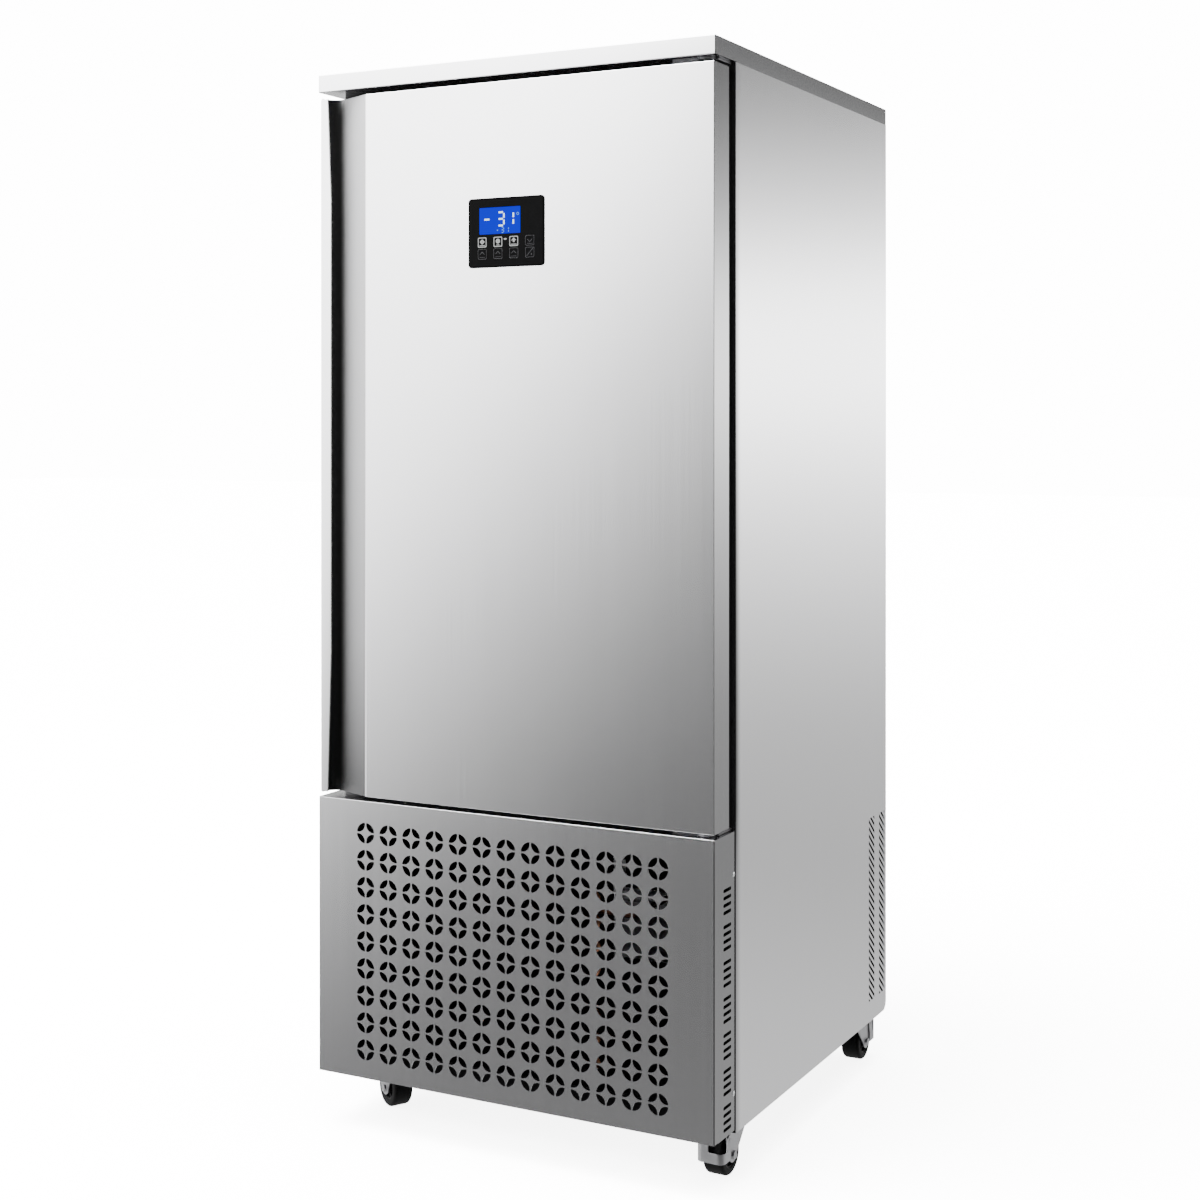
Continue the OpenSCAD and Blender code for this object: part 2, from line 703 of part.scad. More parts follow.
// Welded shell on a foot plate, with its terminal box
module compressor() color(black) {
    edge = 28;
    translate([comp_x, comp_y, comp_z]) {
        rotate_extrude() intersection() {
            union() {
                translate([0, edge]) square([compressor_r, compressor_h - 2 * edge]);
                square([compressor_r - edge, compressor_h]);
                for (z = [edge, compressor_h - edge]) translate([compressor_r - edge, z]) circle(edge);
            }
            square([compressor_r + 1, compressor_h + 1]);
        }
        block([-foot_plate, -foot_plate, 0], [foot_plate, foot_plate, foot_plate_t]);
        block([-compressor_r - 16, -terminal_w / 2, compressor_h * 0.4],
              [-compressor_r + 20, terminal_w / 2, compressor_h * 0.4 + terminal_h]);
    }
}

module compressor_feet() color([0.12, 0.12, 0.12])
    for (x = [-foot_pitch, foot_pitch], y = [-foot_pitch, foot_pitch])
        translate([comp_x + x, comp_y + y, bay_floor]) {
            cylinder(r = 14, h = foot_h);
            translate([0, 0, foot_h + foot_plate_t]) cylinder(r = 9, h = 5);
        }

cond_x0 = -half_w + 48;
cond_x1 = cond_x0 + condenser_w;
cond_y0 = face_y + 42;
cond_y1 = cond_y0 + condenser_d;
cond_z0 = bay_floor + 4;
cond_z1 = cond_z0 + condenser_h;
cond_fan_x = (cond_x0 + cond_x1) / 2;
cond_fan_z = (cond_z0 + cond_z1) / 2;
cond_rows = 9;
shroud_depth = 44;
cond_fan_y = cond_y1 + 16;

module condenser_coil() {
    finned_coil(cond_x0, cond_x1, cond_y0, cond_y1, cond_z0, cond_z1, 30, cond_rows);
    color(zinc) for (x = [cond_x0, cond_x1 - 2]) block([x, cond_y0, bay_floor], [x + 2, cond_y1, cond_z0 + 1]);
}

// Sheet hood behind the condenser, with the fan's ring
module condenser_shroud() color(zinc) {
    y1 = cond_y1 + shroud_depth;
    difference() {
        block([cond_x0, cond_y1 + seat, cond_z0], [cond_x1, y1, cond_z1]);
        block([cond_x0 + sheet, cond_y1, cond_z0 + sheet], [cond_x1 - sheet, y1 - sheet, cond_z1 - sheet]);
        rod_y(cond_fan_r + fan_tip_gap, cond_fan_x, cond_y1, y1 + 1, cond_fan_z);
    }
}

// Fan motor on two bars across the hood
module condenser_motor() color([0.15, 0.15, 0.16]) {
    y0 = cond_y1 + shroud_depth;
    rod_y(motor_r, cond_fan_x, y0 + 10, y0 + 10 + motor_len, cond_fan_z);
    rod_y(shaft_r, cond_fan_x, cond_fan_y + 4, y0 + 11, cond_fan_z);
    bar = cond_fan_r + fan_tip_gap + 14;
    block([cond_fan_x - bar, y0 + 14, cond_fan_z - 12], [cond_fan_x + bar, y0 + 17, cond_fan_z + 12]);
    for (side = [-1, 1]) block([cond_fan_x + side * bar - 3, y0 + seat, cond_fan_z - 12],
                               [cond_fan_x + side * bar + 3, y0 + 17, cond_fan_z + 12]);
}

module condenser_fan() color([0.2, 0.2, 0.22])
    axial_fan(cond_fan_x, cond_fan_z, cond_fan_y, fan_depth, cond_fan_r, 4);

recv_x = -inner_x + receiver_r + 101;
recv_y = comp_y;
recv_z = bay_floor;

// Upright steel vessel on its foot ring
module liquid_receiver() color(black) {
    edge = receiver_r * 0.6;
    translate([recv_x, recv_y, recv_z]) {
        translate([0, 0, 14]) rotate_extrude() intersection() {
            union() {
                translate([0, edge]) square([receiver_r, receiver_h - 2 * edge]);
                square([receiver_r - edge, receiver_h]);
                for (z = [edge, receiver_h - edge]) translate([receiver_r - edge, z]) circle(edge);
            }
            square([receiver_r + 1, receiver_h + 1]);
        }
        cylinder(r = receiver_r * 0.7, h = 20);
        translate([0, 0, receiver_h + 10]) cylinder(r = 9, h = 16);
    }
}

drier_x = recv_x + 170;
drier_y = recv_y;
drier_z = bay_floor + 290;
drier_len = 110;
drier_r = 21;

// Filter drier, lying in the liquid line
module filter_drier() color(copper) translate([drier_x, drier_y, drier_z]) rotate([0, 90, 0]) {
    cylinder(r = drier_r, h = drier_len);
    translate([0, 0, -14]) cylinder(r1 = 7, r2 = drier_r, h = 14);
    translate([0, 0, drier_len]) cylinder(r1 = drier_r, r2 = 7, h = 14);
}

liquid_r = 5;
suction_r = 9;

// Copper lines between compressor, condenser, receiver, drier and chamber coil
module refrigerant_pipes() color(copper) {
    recv_top = recv_z + receiver_h + 26;
    discharge_x = comp_x - compressor_r * 0.5;
    comp_top = comp_z + compressor_h;
    cond_y = (cond_y0 + cond_y1) / 2;
    inlet_z = bend_z(cond_z0, cond_z1, cond_rows, 6.5);
    outlet_z = bend_z(cond_z0, cond_z1, cond_rows, 0.5);
    coil_under = coil_z0 + 6;
    liquid_x = pipe_hole.x - 9;
    suction_x = pipe_hole.x + 9;
    // discharge line, compressor to condenser
    pipe([[discharge_x, comp_y - 20, comp_top], [discharge_x, comp_y - 20, inlet_z],
          [discharge_x, cond_y, inlet_z], [cond_x1, cond_y, inlet_z]], liquid_r);
    // condenser to receiver
    pipe([[cond_x0, cond_y, outlet_z], [cond_x0 - 20, cond_y, outlet_z],
          [cond_x0 - 20, recv_y, outlet_z], [recv_x - receiver_r, recv_y, outlet_z]], liquid_r);
    // receiver through the drier
    pipe([[recv_x, recv_y, recv_top], [recv_x, recv_y, drier_z], [drier_x - 14, recv_y, drier_z]], liquid_r);
    // drier to the chamber coil
    pipe([[drier_x + drier_len + 14, drier_y, drier_z], [liquid_x, drier_y, drier_z],
          [liquid_x, pipe_hole.y, drier_z], [liquid_x, pipe_hole.y, coil_under]], liquid_r);
    // suction line back to the compressor
    pipe([[suction_x, pipe_hole.y, coil_under], [suction_x, pipe_hole.y, comp_top + 20],
          [comp_x + 40, pipe_hole.y, comp_top + 20], [comp_x + 40, comp_y + 10, comp_top + 20],
          [comp_x + 40, comp_y + 10, comp_top]], suction_r);
}

box_hood_gap = 42;   // from the condenser's hood to the electrical box
box_side_gap = 59;   // from the box to the side panel
box_d = 130;
box_h = 150;

// Closed box hanging under the insulated floor
module electrical_box() color(zinc) {
    x0 = cond_x1 + box_hood_gap;
    x1 = inner_x - box_side_gap;
    y0 = face_y + 121;
    block([x0, y0, foam_bottom - box_h], [x1, y0 + box_d, foam_bottom]);
    for (x = [x0 + 20, x1 - 20]) rod_y(4, x, y0 - 2, y0 + 1, foam_bottom - 30);
}

gland_x = -inner_x + 109;
gland_z = caster_h + 97;
gland_r = 10;

// Strain relief of the mains lead in the back panel
module cable_gland() color(black) difference() {
    union() {
        rod_y(gland_r, gland_x, back_y - 14, rear_y - 4, gland_z);
        rod_y(gland_r + 4, gland_x, back_y + seat, back_y + 6, gland_z, $fn = 6);
        rod_y(gland_r + 4, gland_x, back_y - 8, back_y - sheet - seat, gland_z, $fn = 6);
    }
    rod_y(6, gland_x, back_y - 15, rear_y, gland_z);
}

// ---------- casters ----------

plate_t = 3;
plate_half = 36;
race_gap_z = caster_h - 8.7;
fork_race_z = race_gap_z - free;
crown_z = caster_h - 17;
crown_t = 3;
king_r = 6;
leg_in = wheel_w / 2 + 1.5;
leg_t = 2.5;
caster_x = half_w - caster_inset_x;
caster_front_y = face_y + caster_inset_y;
caster_rear_y = rear_y - caster_inset_y;
// swivel axis of each caster and the way its wheel trails, in degrees from +X
CASTERS = [[-caster_x, caster_front_y, -30], [caster_x, caster_front_y, -92],
           [-caster_x, caster_rear_y, 120], [caster_x, caster_rear_y, 90]];

// Top plate, fixed race and kingpin of every caster
module caster_plates() color(zinc) for (c = CASTERS) translate([c.x, c.y, 0]) {
    difference() {
        block([-plate_half, -plate_half, caster_h - plate_t], [plate_half, plate_half, caster_h]);
        for (x = [-1, 1], y = [-1, 1]) translate([x * (plate_half - 9), y * (plate_half - 9), 0])
            cylinder(r = 4, h = caster_h + 1);
    }
    translate([0, 0, race_gap_z]) cylinder(r1 = 19, r2 = 22, h = caster_h - plate_t - race_gap_z);
    translate([0, 0, crown_z - 2]) cylinder(r = king_r, h = race_gap_z - crown_z + 3);
    translate([0, 0, crown_z - free - 3.2]) cylinder(r = 10, h = 3.2, $fn = 6);
}

pedal_pin = [18, 32];      // of a brake's pivot, from the wheel's axle, along the trail and up
pedal_pin_r = 3;

// Leg of a fork, seen from the side, wheel's axle at the origin
module leg_outline() {
    top = crown_z - wheel_r + 1;
    circle(13);
    polygon([[-12.4, -4], [13, 0], [24, pedal_pin.y - 6], [24, top], [-trail - 18, top], [-trail - 18, top - 8]]);
}

module fork(c) color(zinc) translate([c.x, c.y, 0]) rotate(c[2]) {
    difference() {
        union() {
            block([-20, -leg_in - leg_t, crown_z], [trail + 24, leg_in + leg_t, crown_z + crown_t]);
            translate([0, 0, crown_z]) cylinder(r = 22, h = fork_race_z - crown_z);
        }
        translate([0, 0, crown_z - 1]) cylinder(r = king_r + running, h = fork_race_z);
    }
    for (side = [-1, 1]) translate([trail, 0, wheel_r])
        plate_xz(side > 0 ? leg_in : -leg_in - leg_t, leg_t) leg_outline();
    // axle bolt with its head and nut
    translate([trail, 0, 0]) {
        rod_y(axle_r, 0, -leg_in - leg_t, leg_in + leg_t, wheel_r);
        for (side = [-1, 1]) rod_y(7.5, 0, side > 0 ? leg_in + leg_t : -leg_in - leg_t - 4.5,
                                   side > 0 ? leg_in + leg_t + 4.5 : -leg_in - leg_t, wheel_r, $fn = 6);
        for (side = [-1, 1]) rod_y(pedal_pin_r, pedal_pin.x, side > 0 ? leg_in + leg_t : -leg_in - leg_t - 3.6,
                                   side > 0 ? leg_in + leg_t + 3.6 : -leg_in - leg_t, wheel_r + pedal_pin.y);
    }
}

// Wheel: rounded tread on a hub with a recessed web
module wheel(c) color(black) translate([c.x, c.y, 0]) rotate(c[2]) translate([trail, 0, wheel_r])
    rotate([90, 0, 0]) rotate_extrude() {
        edge = 6;
        rim_r = wheel_r - 12;
        bore_r = axle_r + running;
        translate([bore_r, -wheel_w / 2]) square([6, wheel_w]);
        translate([bore_r + 1, -5]) square([rim_r - bore_r, 10]);
        translate([rim_r, -wheel_w / 2]) square([wheel_r - edge - rim_r, wheel_w]);
        translate([wheel_r - edge - 1, edge - wheel_w / 2]) square([edge + 1, wheel_w - 2 * edge]);
        for (side = [-1, 1]) translate([wheel_r - edge, side * (wheel_w / 2 - edge)]) circle(edge);
    }

pedal_in = 44;             // from the axle to the inside of the pedal's end
pedal_low = -4;            // bottom and top of the strap, from the axle
pedal_high = 14;
pedal_tab_z = 34;
arm_y = leg_in + leg_t + 0.6;
arm_t = 2.4;
pedal_corner_r = 9;

// Brake pedal from above: a strap round the wheel, its inside grown by grow
module strap_plan(grow) round_rect([-60, -arm_y - grow], [pedal_in + grow, arm_y + grow], pedal_corner_r + grow);

// Brake pedal from the side: the strap and the arms up to the fork's studs
module pedal_side() difference() {
    union() {
        polygon([[14, pedal_low], [pedal_in + 5, pedal_low], [pedal_in + 5, pedal_high], [29, pedal_high],
                 [26, pedal_pin.y], [pedal_pin.x - 8, pedal_pin.y], [14, pedal_high]]);
        translate(pedal_pin) circle(8);
    }
    translate(pedal_pin) circle(pedal_pin_r + running);
}

// Stamped brake pedal: a strap bent round the wheel, one half of its end drawn up into a tab
module brake(c) color([0.7, 0.71, 0.72]) translate([c.x, c.y, 0]) rotate(c[2]) translate([trail, 0, wheel_r])
    intersection() {
        union() {
            plate_xz(-40, 80) pedal_side();
            block([31, -40, 0], [pedal_in + 5, -2, pedal_tab_z]);
        }
        translate([0, 0, -40]) linear_extrude(100) difference() {
            strap_plan(arm_t);
            strap_plan(0);
        }
    }

// ---------- door ----------

crease_x = door_x0 + recess_w;
pocket_x = door_x0 + lip_t + pocket_r;
pocket_y = door_y0 - (pocket_r + (pocket_x - crease_x) * sin(recess_slope)) / cos(recess_slope);

// The finger recess seen from above, its walls moved outwards by grow
module recess(grow) {
    reach = pocket_r + grow;
    tangent = [pocket_x + reach * sin(recess_slope), pocket_y + reach * cos(recess_slope)];
    beyond = tangent + 200 * [cos(recess_slope), -sin(recess_slope)];
    polygon([tangent, beyond, [beyond.x, door_y0 - 150], [pocket_x - reach, door_y0 - 150],
             [pocket_x - reach, pocket_y], [pocket_x, pocket_y]]);
    translate([pocket_x, pocket_y]) circle(reach);
}

// Outside of the door from above
module door_outline() difference() {
    translate([door_x0, door_y0]) square([door_x1 - door_x0, door_t]);
    recess(0);
    translate([door_x0 - 1, door_y0 - 1]) square([lip_t + 2, lip_t + seat + 1]);
}

// Inside of the door's skin from above
module foam_outline(y1) difference() {
    translate([door_x0 + sheet, door_y0 + sheet]) square([door_x1 - door_x0 - 2 * sheet, y1 - door_y0 - sheet]);
    recess(sheet);
    translate([door_x0, door_y0]) square([lip_t + pocket_r, pocket_y + pocket_r * 0.4 - door_y0]);
}

// Room for the bushes in both ends of the door
module bush_holes(gap) for (z = [door_z0 - 1, door_z1 - hinge_pin_len - 2 - gap])
    translate([pivot_x, pivot_y, z]) cylinder(r = bush_r + gap, h = hinge_pin_len + 3 + gap);

control_z = door_z1 - control_drop;
housing_w = control_w - 12;
housing_h = control_h - 10;
housing_d = 26;
board_depth = 2.4;

module housing_room(gap) block([-housing_w / 2 - gap, door_y0 - 1, control_z - housing_h / 2 - gap],
                               [housing_w / 2 + gap, door_y0 + housing_d + gap, control_z + housing_h / 2 + gap]);

// Folded outer sheet of the door, with the handle recess formed in it
module door_skin() color(steel) difference() {
    translate([0, 0, door_z0]) linear_extrude(door_z1 - door_z0) door_outline();
    translate([0, 0, door_z0 + sheet]) linear_extrude(door_z1 - door_z0 - 2 * sheet) foam_outline(door_y1 + 1);
    bush_holes(seat);
    housing_room(seat);
}

module door_foam() color([0.93, 0.87, 0.62]) difference() {
    translate([0, 0, door_z0 + sheet]) linear_extrude(door_z1 - door_z0 - 2 * sheet)
        foam_outline(door_y1 - sheet);
    bush_holes(seat);
    housing_room(seat);
}

pan_x = gasket_x - gasket_w - 6;
pan_proud = 8;

// Inner sheet of the door with a pressed pan inside the gasket
module door_liner() color(steel) {
    z0 = door_z0 + sheet + seat;
    z1 = door_z1 - sheet - seat;
    inner = gasket_w + 6;
    difference() {
        union() {
            block([door_x0 + sheet + seat, door_y1 - sheet, z0], [door_x1 - sheet - seat, door_y1, z1]);
            plate_xz(door_y1 - sheet, sheet + pan_proud)
                round_rect([-pan_x, gasket_z0 + inner], [pan_x, gasket_z1 - inner], 12);
        }
        plate_xz(door_y1 - sheet - 1, 1 + pan_proud)
            round_rect([sheet - pan_x, gasket_z0 + inner + sheet], [pan_x - sheet, gasket_z1 - inner - sheet], 11);
    }
}

// One layer of the gasket, its sides drawn in by inset
module gasket_layer(y, t, inset) plate_xz(y, t) difference() {
    round_rect([inset - gasket_x, gasket_z0 + inset], [gasket_x - inset, gasket_z1 - inset], 14 - inset);
    round_rect([gasket_w - inset - gasket_x, gasket_z0 + gasket_w - inset],
               [gasket_x - gasket_w + inset, gasket_z1 - gasket_w + inset], 4);
}

// Magnetic gasket: a foot, a bellows and a magnet strip that meets the front frame
module door_gasket() color(black) {
    depth = face_y - gasket_gap - door_y1;
    gasket_layer(door_y1, 6, 0);
    gasket_layer(door_y1 + 6, depth - 13, 5);
    gasket_layer(door_y1 + depth - 7, 7, 1);
}

// Front strip of the recess, widest in its middle
module handle_lip() color(steel) plate_xz(door_y0, lip_t) polygon([
    [door_x0, door_z0 + 2], [door_x0 + lip_end_w, door_z0 + 2],
    [door_x0 + lip_mid_w, door_z0 + 260], [door_x0 + lip_mid_w, door_z1 - 188],
    [door_x0 + lip_end_w, door_z1 - 2], [door_x0, door_z1 - 2]
]);

// ---------- control panel ----------

lcd_x = -12.5;
lcd_z = control_z + 20.75;
key_row_z = control_z - 16.5;
key_proud = 0.1;
key_depth = 3.6;
key_gap = 0.2;

function key_x(i) = ((i % 4) - 1.5) * key_pitch_x;
function key_z(i) = key_row_z - floor(i / 4) * key_pitch_z;

module key_outline(grow) {
    half = key_size / 2 + grow;
    round_rect([-half, -half], [half, half], 2.5 + grow);
}

module lcd_outline(grow) translate([lcd_x, lcd_z])
    round_rect([-lcd_w / 2 - grow, -lcd_h / 2 - grow], [lcd_w / 2 + grow, lcd_h / 2 + grow], 1.5);

// Black front plate with its window and key holes
module control_plate() color(black) plate_xz(door_y0 - control_t, control_t) difference() {
    translate([0, control_z]) round_rect([-control_w / 2, -control_h / 2], [control_w / 2, control_h / 2], control_r);
    lcd_outline(seat);
    for (i = [0 : 7]) translate([key_x(i), key_z(i)]) key_outline(key_gap);
}

module lcd_window() color([0.05, 0.15, 0.9])
    plate_xz(door_y0 - control_t + 0.2, control_t + board_depth - 0.2 - seat) lcd_outline(0);

// Housing behind the plate; its flat board backs the keys
module control_housing() color([0.1, 0.1, 0.1]) difference() {
    block([-housing_w / 2, door_y0 + seat, control_z - housing_h / 2],
          [housing_w / 2, door_y0 + housing_d, control_z + housing_h / 2]);
    block([2 - housing_w / 2, door_y0 - 1, control_z - housing_h / 2 + 2],
          [housing_w / 2 - 2, door_y0 + board_depth, control_z + housing_h / 2 - 2]);
}

module key(i) color([0.12, 0.12, 0.13]) translate([key_x(i), 0, key_z(i)])
    plate_xz(door_y0 - control_t - key_proud, key_depth) key_outline(0);

// ---------- assembly ----------

top_cover();
side_panel(-1);  // side_panel_left
side_panel(1);  // side_panel_right
back_panel();
insulation_shell();
chamber_liner();
front_frame();
base_tray();
frame_posts();
front_grille();
panel_screws();
hinge_brackets();
tray_rack(-1);  // tray_rack_left
tray_rack(1);  // tray_rack_right
fan_panel();
fan_guards();
chamber_fan_motors();
evaporator_coil();
drip_tray();
compressor();
compressor_feet();
condenser_coil();
condenser_shroud();
condenser_motor();
liquid_receiver();
filter_drier();
refrigerant_pipes();
electrical_box();
cable_gland();
caster_plates();
chamber_fan(0);  // chamber_fan_low
chamber_fan(1);  // chamber_fan_high
condenser_fan();
door_skin();
door_foam();
door_liner();
door_gasket();
handle_lip();
hinge_bushes();
control_housing();
control_plate();
lcd_window();
key(0);  // key_1
key(1);  // key_2
key(2);  // key_3
key(3);  // key_4
key(4);  // key_5
key(5);  // key_6
key(6);  // key_7
key(7);  // key_8
fork(CASTERS[0]);  // fork_front_left
fork(CASTERS[1]);  // fork_front_right
fork(CASTERS[2]);  // fork_rear_left
fork(CASTERS[3]);  // fork_rear_right
wheel(CASTERS[0]);  // wheel_front_left
wheel(CASTERS[1]);  // wheel_front_right
wheel(CASTERS[2]);  // wheel_rear_left
wheel(CASTERS[3]);  // wheel_rear_right
brake(CASTERS[1]);  // brake_front_right
brake(CASTERS[3]);  // brake_rear_right
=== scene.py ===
"""Blast chiller: an upright stainless steel cabinet with one insulated door, a machine bay and casters.

Metres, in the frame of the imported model: the door faces -Y, Z is up and the floor is z = 0.
"""
import json
import math
from functools import partialmethod

import bmesh
import bpy
from mathutils import Matrix, Vector

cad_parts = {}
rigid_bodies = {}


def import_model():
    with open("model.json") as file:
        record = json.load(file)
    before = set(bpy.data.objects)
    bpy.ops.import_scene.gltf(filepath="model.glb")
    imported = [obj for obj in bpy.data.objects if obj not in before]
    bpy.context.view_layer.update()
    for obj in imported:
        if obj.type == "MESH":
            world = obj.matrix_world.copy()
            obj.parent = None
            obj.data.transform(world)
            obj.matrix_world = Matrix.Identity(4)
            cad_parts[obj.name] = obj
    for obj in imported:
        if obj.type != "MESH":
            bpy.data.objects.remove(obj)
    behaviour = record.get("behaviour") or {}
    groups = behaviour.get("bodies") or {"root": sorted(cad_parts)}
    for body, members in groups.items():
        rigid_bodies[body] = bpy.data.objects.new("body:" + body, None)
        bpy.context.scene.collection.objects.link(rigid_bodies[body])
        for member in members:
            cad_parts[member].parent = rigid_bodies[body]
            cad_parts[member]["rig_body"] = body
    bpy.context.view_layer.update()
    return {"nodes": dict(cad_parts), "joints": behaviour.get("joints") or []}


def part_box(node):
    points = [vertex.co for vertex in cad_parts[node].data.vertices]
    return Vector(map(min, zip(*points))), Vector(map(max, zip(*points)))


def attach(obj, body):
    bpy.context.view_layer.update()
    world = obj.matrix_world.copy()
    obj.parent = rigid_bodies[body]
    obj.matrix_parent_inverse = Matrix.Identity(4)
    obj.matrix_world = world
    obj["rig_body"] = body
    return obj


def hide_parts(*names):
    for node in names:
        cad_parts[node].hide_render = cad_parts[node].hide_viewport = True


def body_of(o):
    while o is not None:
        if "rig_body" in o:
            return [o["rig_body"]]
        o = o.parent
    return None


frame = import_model()

# ---------------------------------------------------------------- camera and studio
# A plain white studio: a pale floor, a wide soft ceiling light and pale walls that fade to grey.
# The walls are what the brushed steel mirrors, so their fall-off gives it its light and dark.
camera = bpy.data.objects.new("camera", bpy.data.cameras.new("camera"))
camera.location = (1.6740, -3.2624, 1.2915)
camera.rotation_euler = (math.radians(90), 0, math.radians(27.68))
camera.data.lens = 56.61
camera.data.sensor_width = 36
camera.data.shift_y = (422 - 600) / 1200
bpy.context.scene.collection.objects.link(camera)
bpy.context.scene.camera = camera


class Wire:
    """One output of a node tree. Arithmetic on it adds Math nodes, and node() adds any other node."""

    def __init__(self, tree, socket=None):
        self.tree = tree
        self.socket = socket

    def node(self, kind, settings=None, sockets=None, output=0):
        made = self.tree.nodes.new(kind)
        for key, value in (settings or {}).items():
            if key == "stops":
                set_stops(made.color_ramp, value)
            else:
                setattr(made, key, value)
        for key, value in (sockets or {}).items():
            for one in value if isinstance(value, list) else [value]:
                if isinstance(one, Wire):
                    self.tree.links.new(one.socket, made.inputs[key])
                else:
                    made.inputs[key].default_value = one
        return Wire(self.tree, made.outputs[output] if made.outputs else None)

    def math(self, operation, *others):
        return self.node("ShaderNodeMath", {"operation": operation}, dict(enumerate((self, *others))))

    def __rsub__(self, other):
        return self.math("MULTIPLY_ADD", -1.0, other)

    def axis(self, name):
        return self.node("ShaderNodeSeparateXYZ", None, {0: self}, "XYZ".index(name))

    def tint(self, low, high):
        """The colour between low and high that this value gives."""
        colours = {0: self, 6: (*low, 1), 7: (*high, 1)}
        return self.node("ShaderNodeMix", {"data_type": "RGBA"}, colours, 2)

    def ramp(self, *stops):
        """A value read off (place, value) stops, all from 0 to 1."""
        grey = [(place, (value, value, value, 1)) for place, value in stops]
        return self.node("ShaderNodeValToRGB", {"stops": grey}, {0: self})

    def spread(self, low, high):
        """0 up to low, 1 from high, and a soft rise between."""
        smooth = {"interpolation_type": "SMOOTHSTEP"}
        return self.node("ShaderNodeMapRange", smooth, {0: self, 1: low, 2: high})


OPERATIONS = {
    "__add__": "ADD", "__radd__": "ADD", "__sub__": "SUBTRACT", "__mul__": "MULTIPLY",
    "__truediv__": "DIVIDE", "__lt__": "LESS_THAN", "__gt__": "GREATER_THAN",
}
for operator, operation in OPERATIONS.items():
    setattr(Wire, operator, partialmethod(Wire.math, operation))


def set_stops(ramp, stops):
    """Replaces a colour ramp's stops by (place, colour) pairs."""
    while len(ramp.elements) > 1:
        ramp.elements.remove(ramp.elements[-1])
    ramp.elements[0].position, ramp.elements[0].color = stops[0]
    for place, colour in stops[1:]:
        ramp.elements.new(place).color = colour


world = bpy.data.worlds.new("studio_walls")
world.use_nodes = True
world.node_tree.nodes.clear()
bpy.context.scene.world = world
air = Wire(world.node_tree)
toward = air.node("ShaderNodeTexCoord", output="Generated")
left, up = toward.axis("X") * -1.0, toward.axis("Z")
# the front wall brightens to the upper left, in stops of two to one, and far left it is held back
front_rise = left * 20.0 + up * 15.5 - 8.7
front_cap = 2.3 + up * 3.6 - (left - 0.72).math("MAXIMUM", 0.0) * 4.0
front_least = (up * -5.0 - 3.9).math("MAXIMUM", -2.8)
front_stop = front_rise.math("MINIMUM", front_cap).math("MAXIMUM", front_least)
# the rear wall is a soft band at the height of the cabinet, darker above it
rear_heights = (
    (0.0, 0.50), (0.13, 0.48), (0.22, 0.415), (0.31, 0.46), (0.38, 0.58), (0.45, 0.73), (0.52, 0.92),
    (0.565, 0.93), (0.59, 0.88), (0.644, 0.62), (0.68, 0.49), (0.71, 0.36), (0.76, 0.22), (1.0, 0.30),
)
rear_stop = ((up + 0.4) / 0.8).ramp(*rear_heights) * 6.0 - 3.0
rearward = toward.axis("Y").spread(-0.25, 0.25)
stop = front_stop * (1 - rearward) + rear_stop * rearward
glow = (stop * math.log(2)).math("EXPONENT")
seen = air.node("ShaderNodeLightPath", output="Is Camera Ray")
strength = glow * (1 - seen) + seen * 15.0
light = air.node("ShaderNodeBackground", None, {"Color": (1, 1, 1, 1), "Strength": strength})
air.node("ShaderNodeOutputWorld", None, {"Surface": light})

sky = bpy.data.objects.new("soft_sky", bpy.data.lights.new("soft_sky", "SUN"))
sky.data.energy = 16
sky.data.angle = 1.2
sky.visible_glossy = False
bpy.context.scene.collection.objects.link(sky)

floor_mesh = bpy.data.meshes.new("floor")
floor_corners = [(-30, -30, 0), (30, -30, 0), (30, 30, 0), (-30, 30, 0)]
floor_mesh.from_pydata(floor_corners, [], [(0, 1, 2, 3)])
floor = bpy.data.objects.new("floor", floor_mesh)
floor.visible_glossy = False
floor.visible_diffuse = False
bpy.context.scene.collection.objects.link(floor)


def start(name):
    """A new material, and the Object coordinates that its patterns are drawn in."""
    material = bpy.data.materials.new(name)
    material.use_nodes = True
    material.node_tree.nodes.clear()
    return material, Wire(material.node_tree).node("ShaderNodeTexCoord", output="Object")


def noise(at, scale, detail=2.0, stretch=(1, 1, 1)):
    stretched = at.node("ShaderNodeMapping", None, {"Vector": at, "Scale": stretch})
    return at.node("ShaderNodeTexNoise", None, {"Vector": stretched, "Scale": scale, "Detail": detail})


def close(material, colour, roughness, metallic=0.0, height=None, depth=0.0001, **constants):
    """Ends a material in its shader; height is a pattern in relief, depth metres high."""
    sockets = {"Base Color": colour, "Roughness": roughness, "Metallic": metallic}
    for key, value in constants.items():
        sockets[key.replace("_", " ").title().replace("Ior", "IOR")] = value
    if height is not None:
        sockets["Normal"] = colour.node("ShaderNodeBump", None, {"Height": height, "Distance": depth})
    shader = colour.node("ShaderNodeBsdfPrincipled", None, sockets)
    colour.node("ShaderNodeOutputMaterial", None, {"Surface": shader})
    return material


material, at = start("studio_floor")
mottle = noise(at, 0.7)
pale = mottle.tint((0.90, 0.90, 0.90), (0.94, 0.94, 0.94))
floor_mesh.materials.append(close(material, pale, 0.6, emission_color=pale, emission_strength=7.0))

# ---------------------------------------------------------------- cover
# The cover is a tray of 1 mm brushed stainless sheet, folded with soft edges. It closes the top of the
# cabinet, reaches over the door, and its grain runs across.
FOLD_X = 0.3963  # the door's and front panel's turned-back sides lie farther out than this
COVER_FOLD_X = 0.3986  # and so do the cover's turned-down sides than this


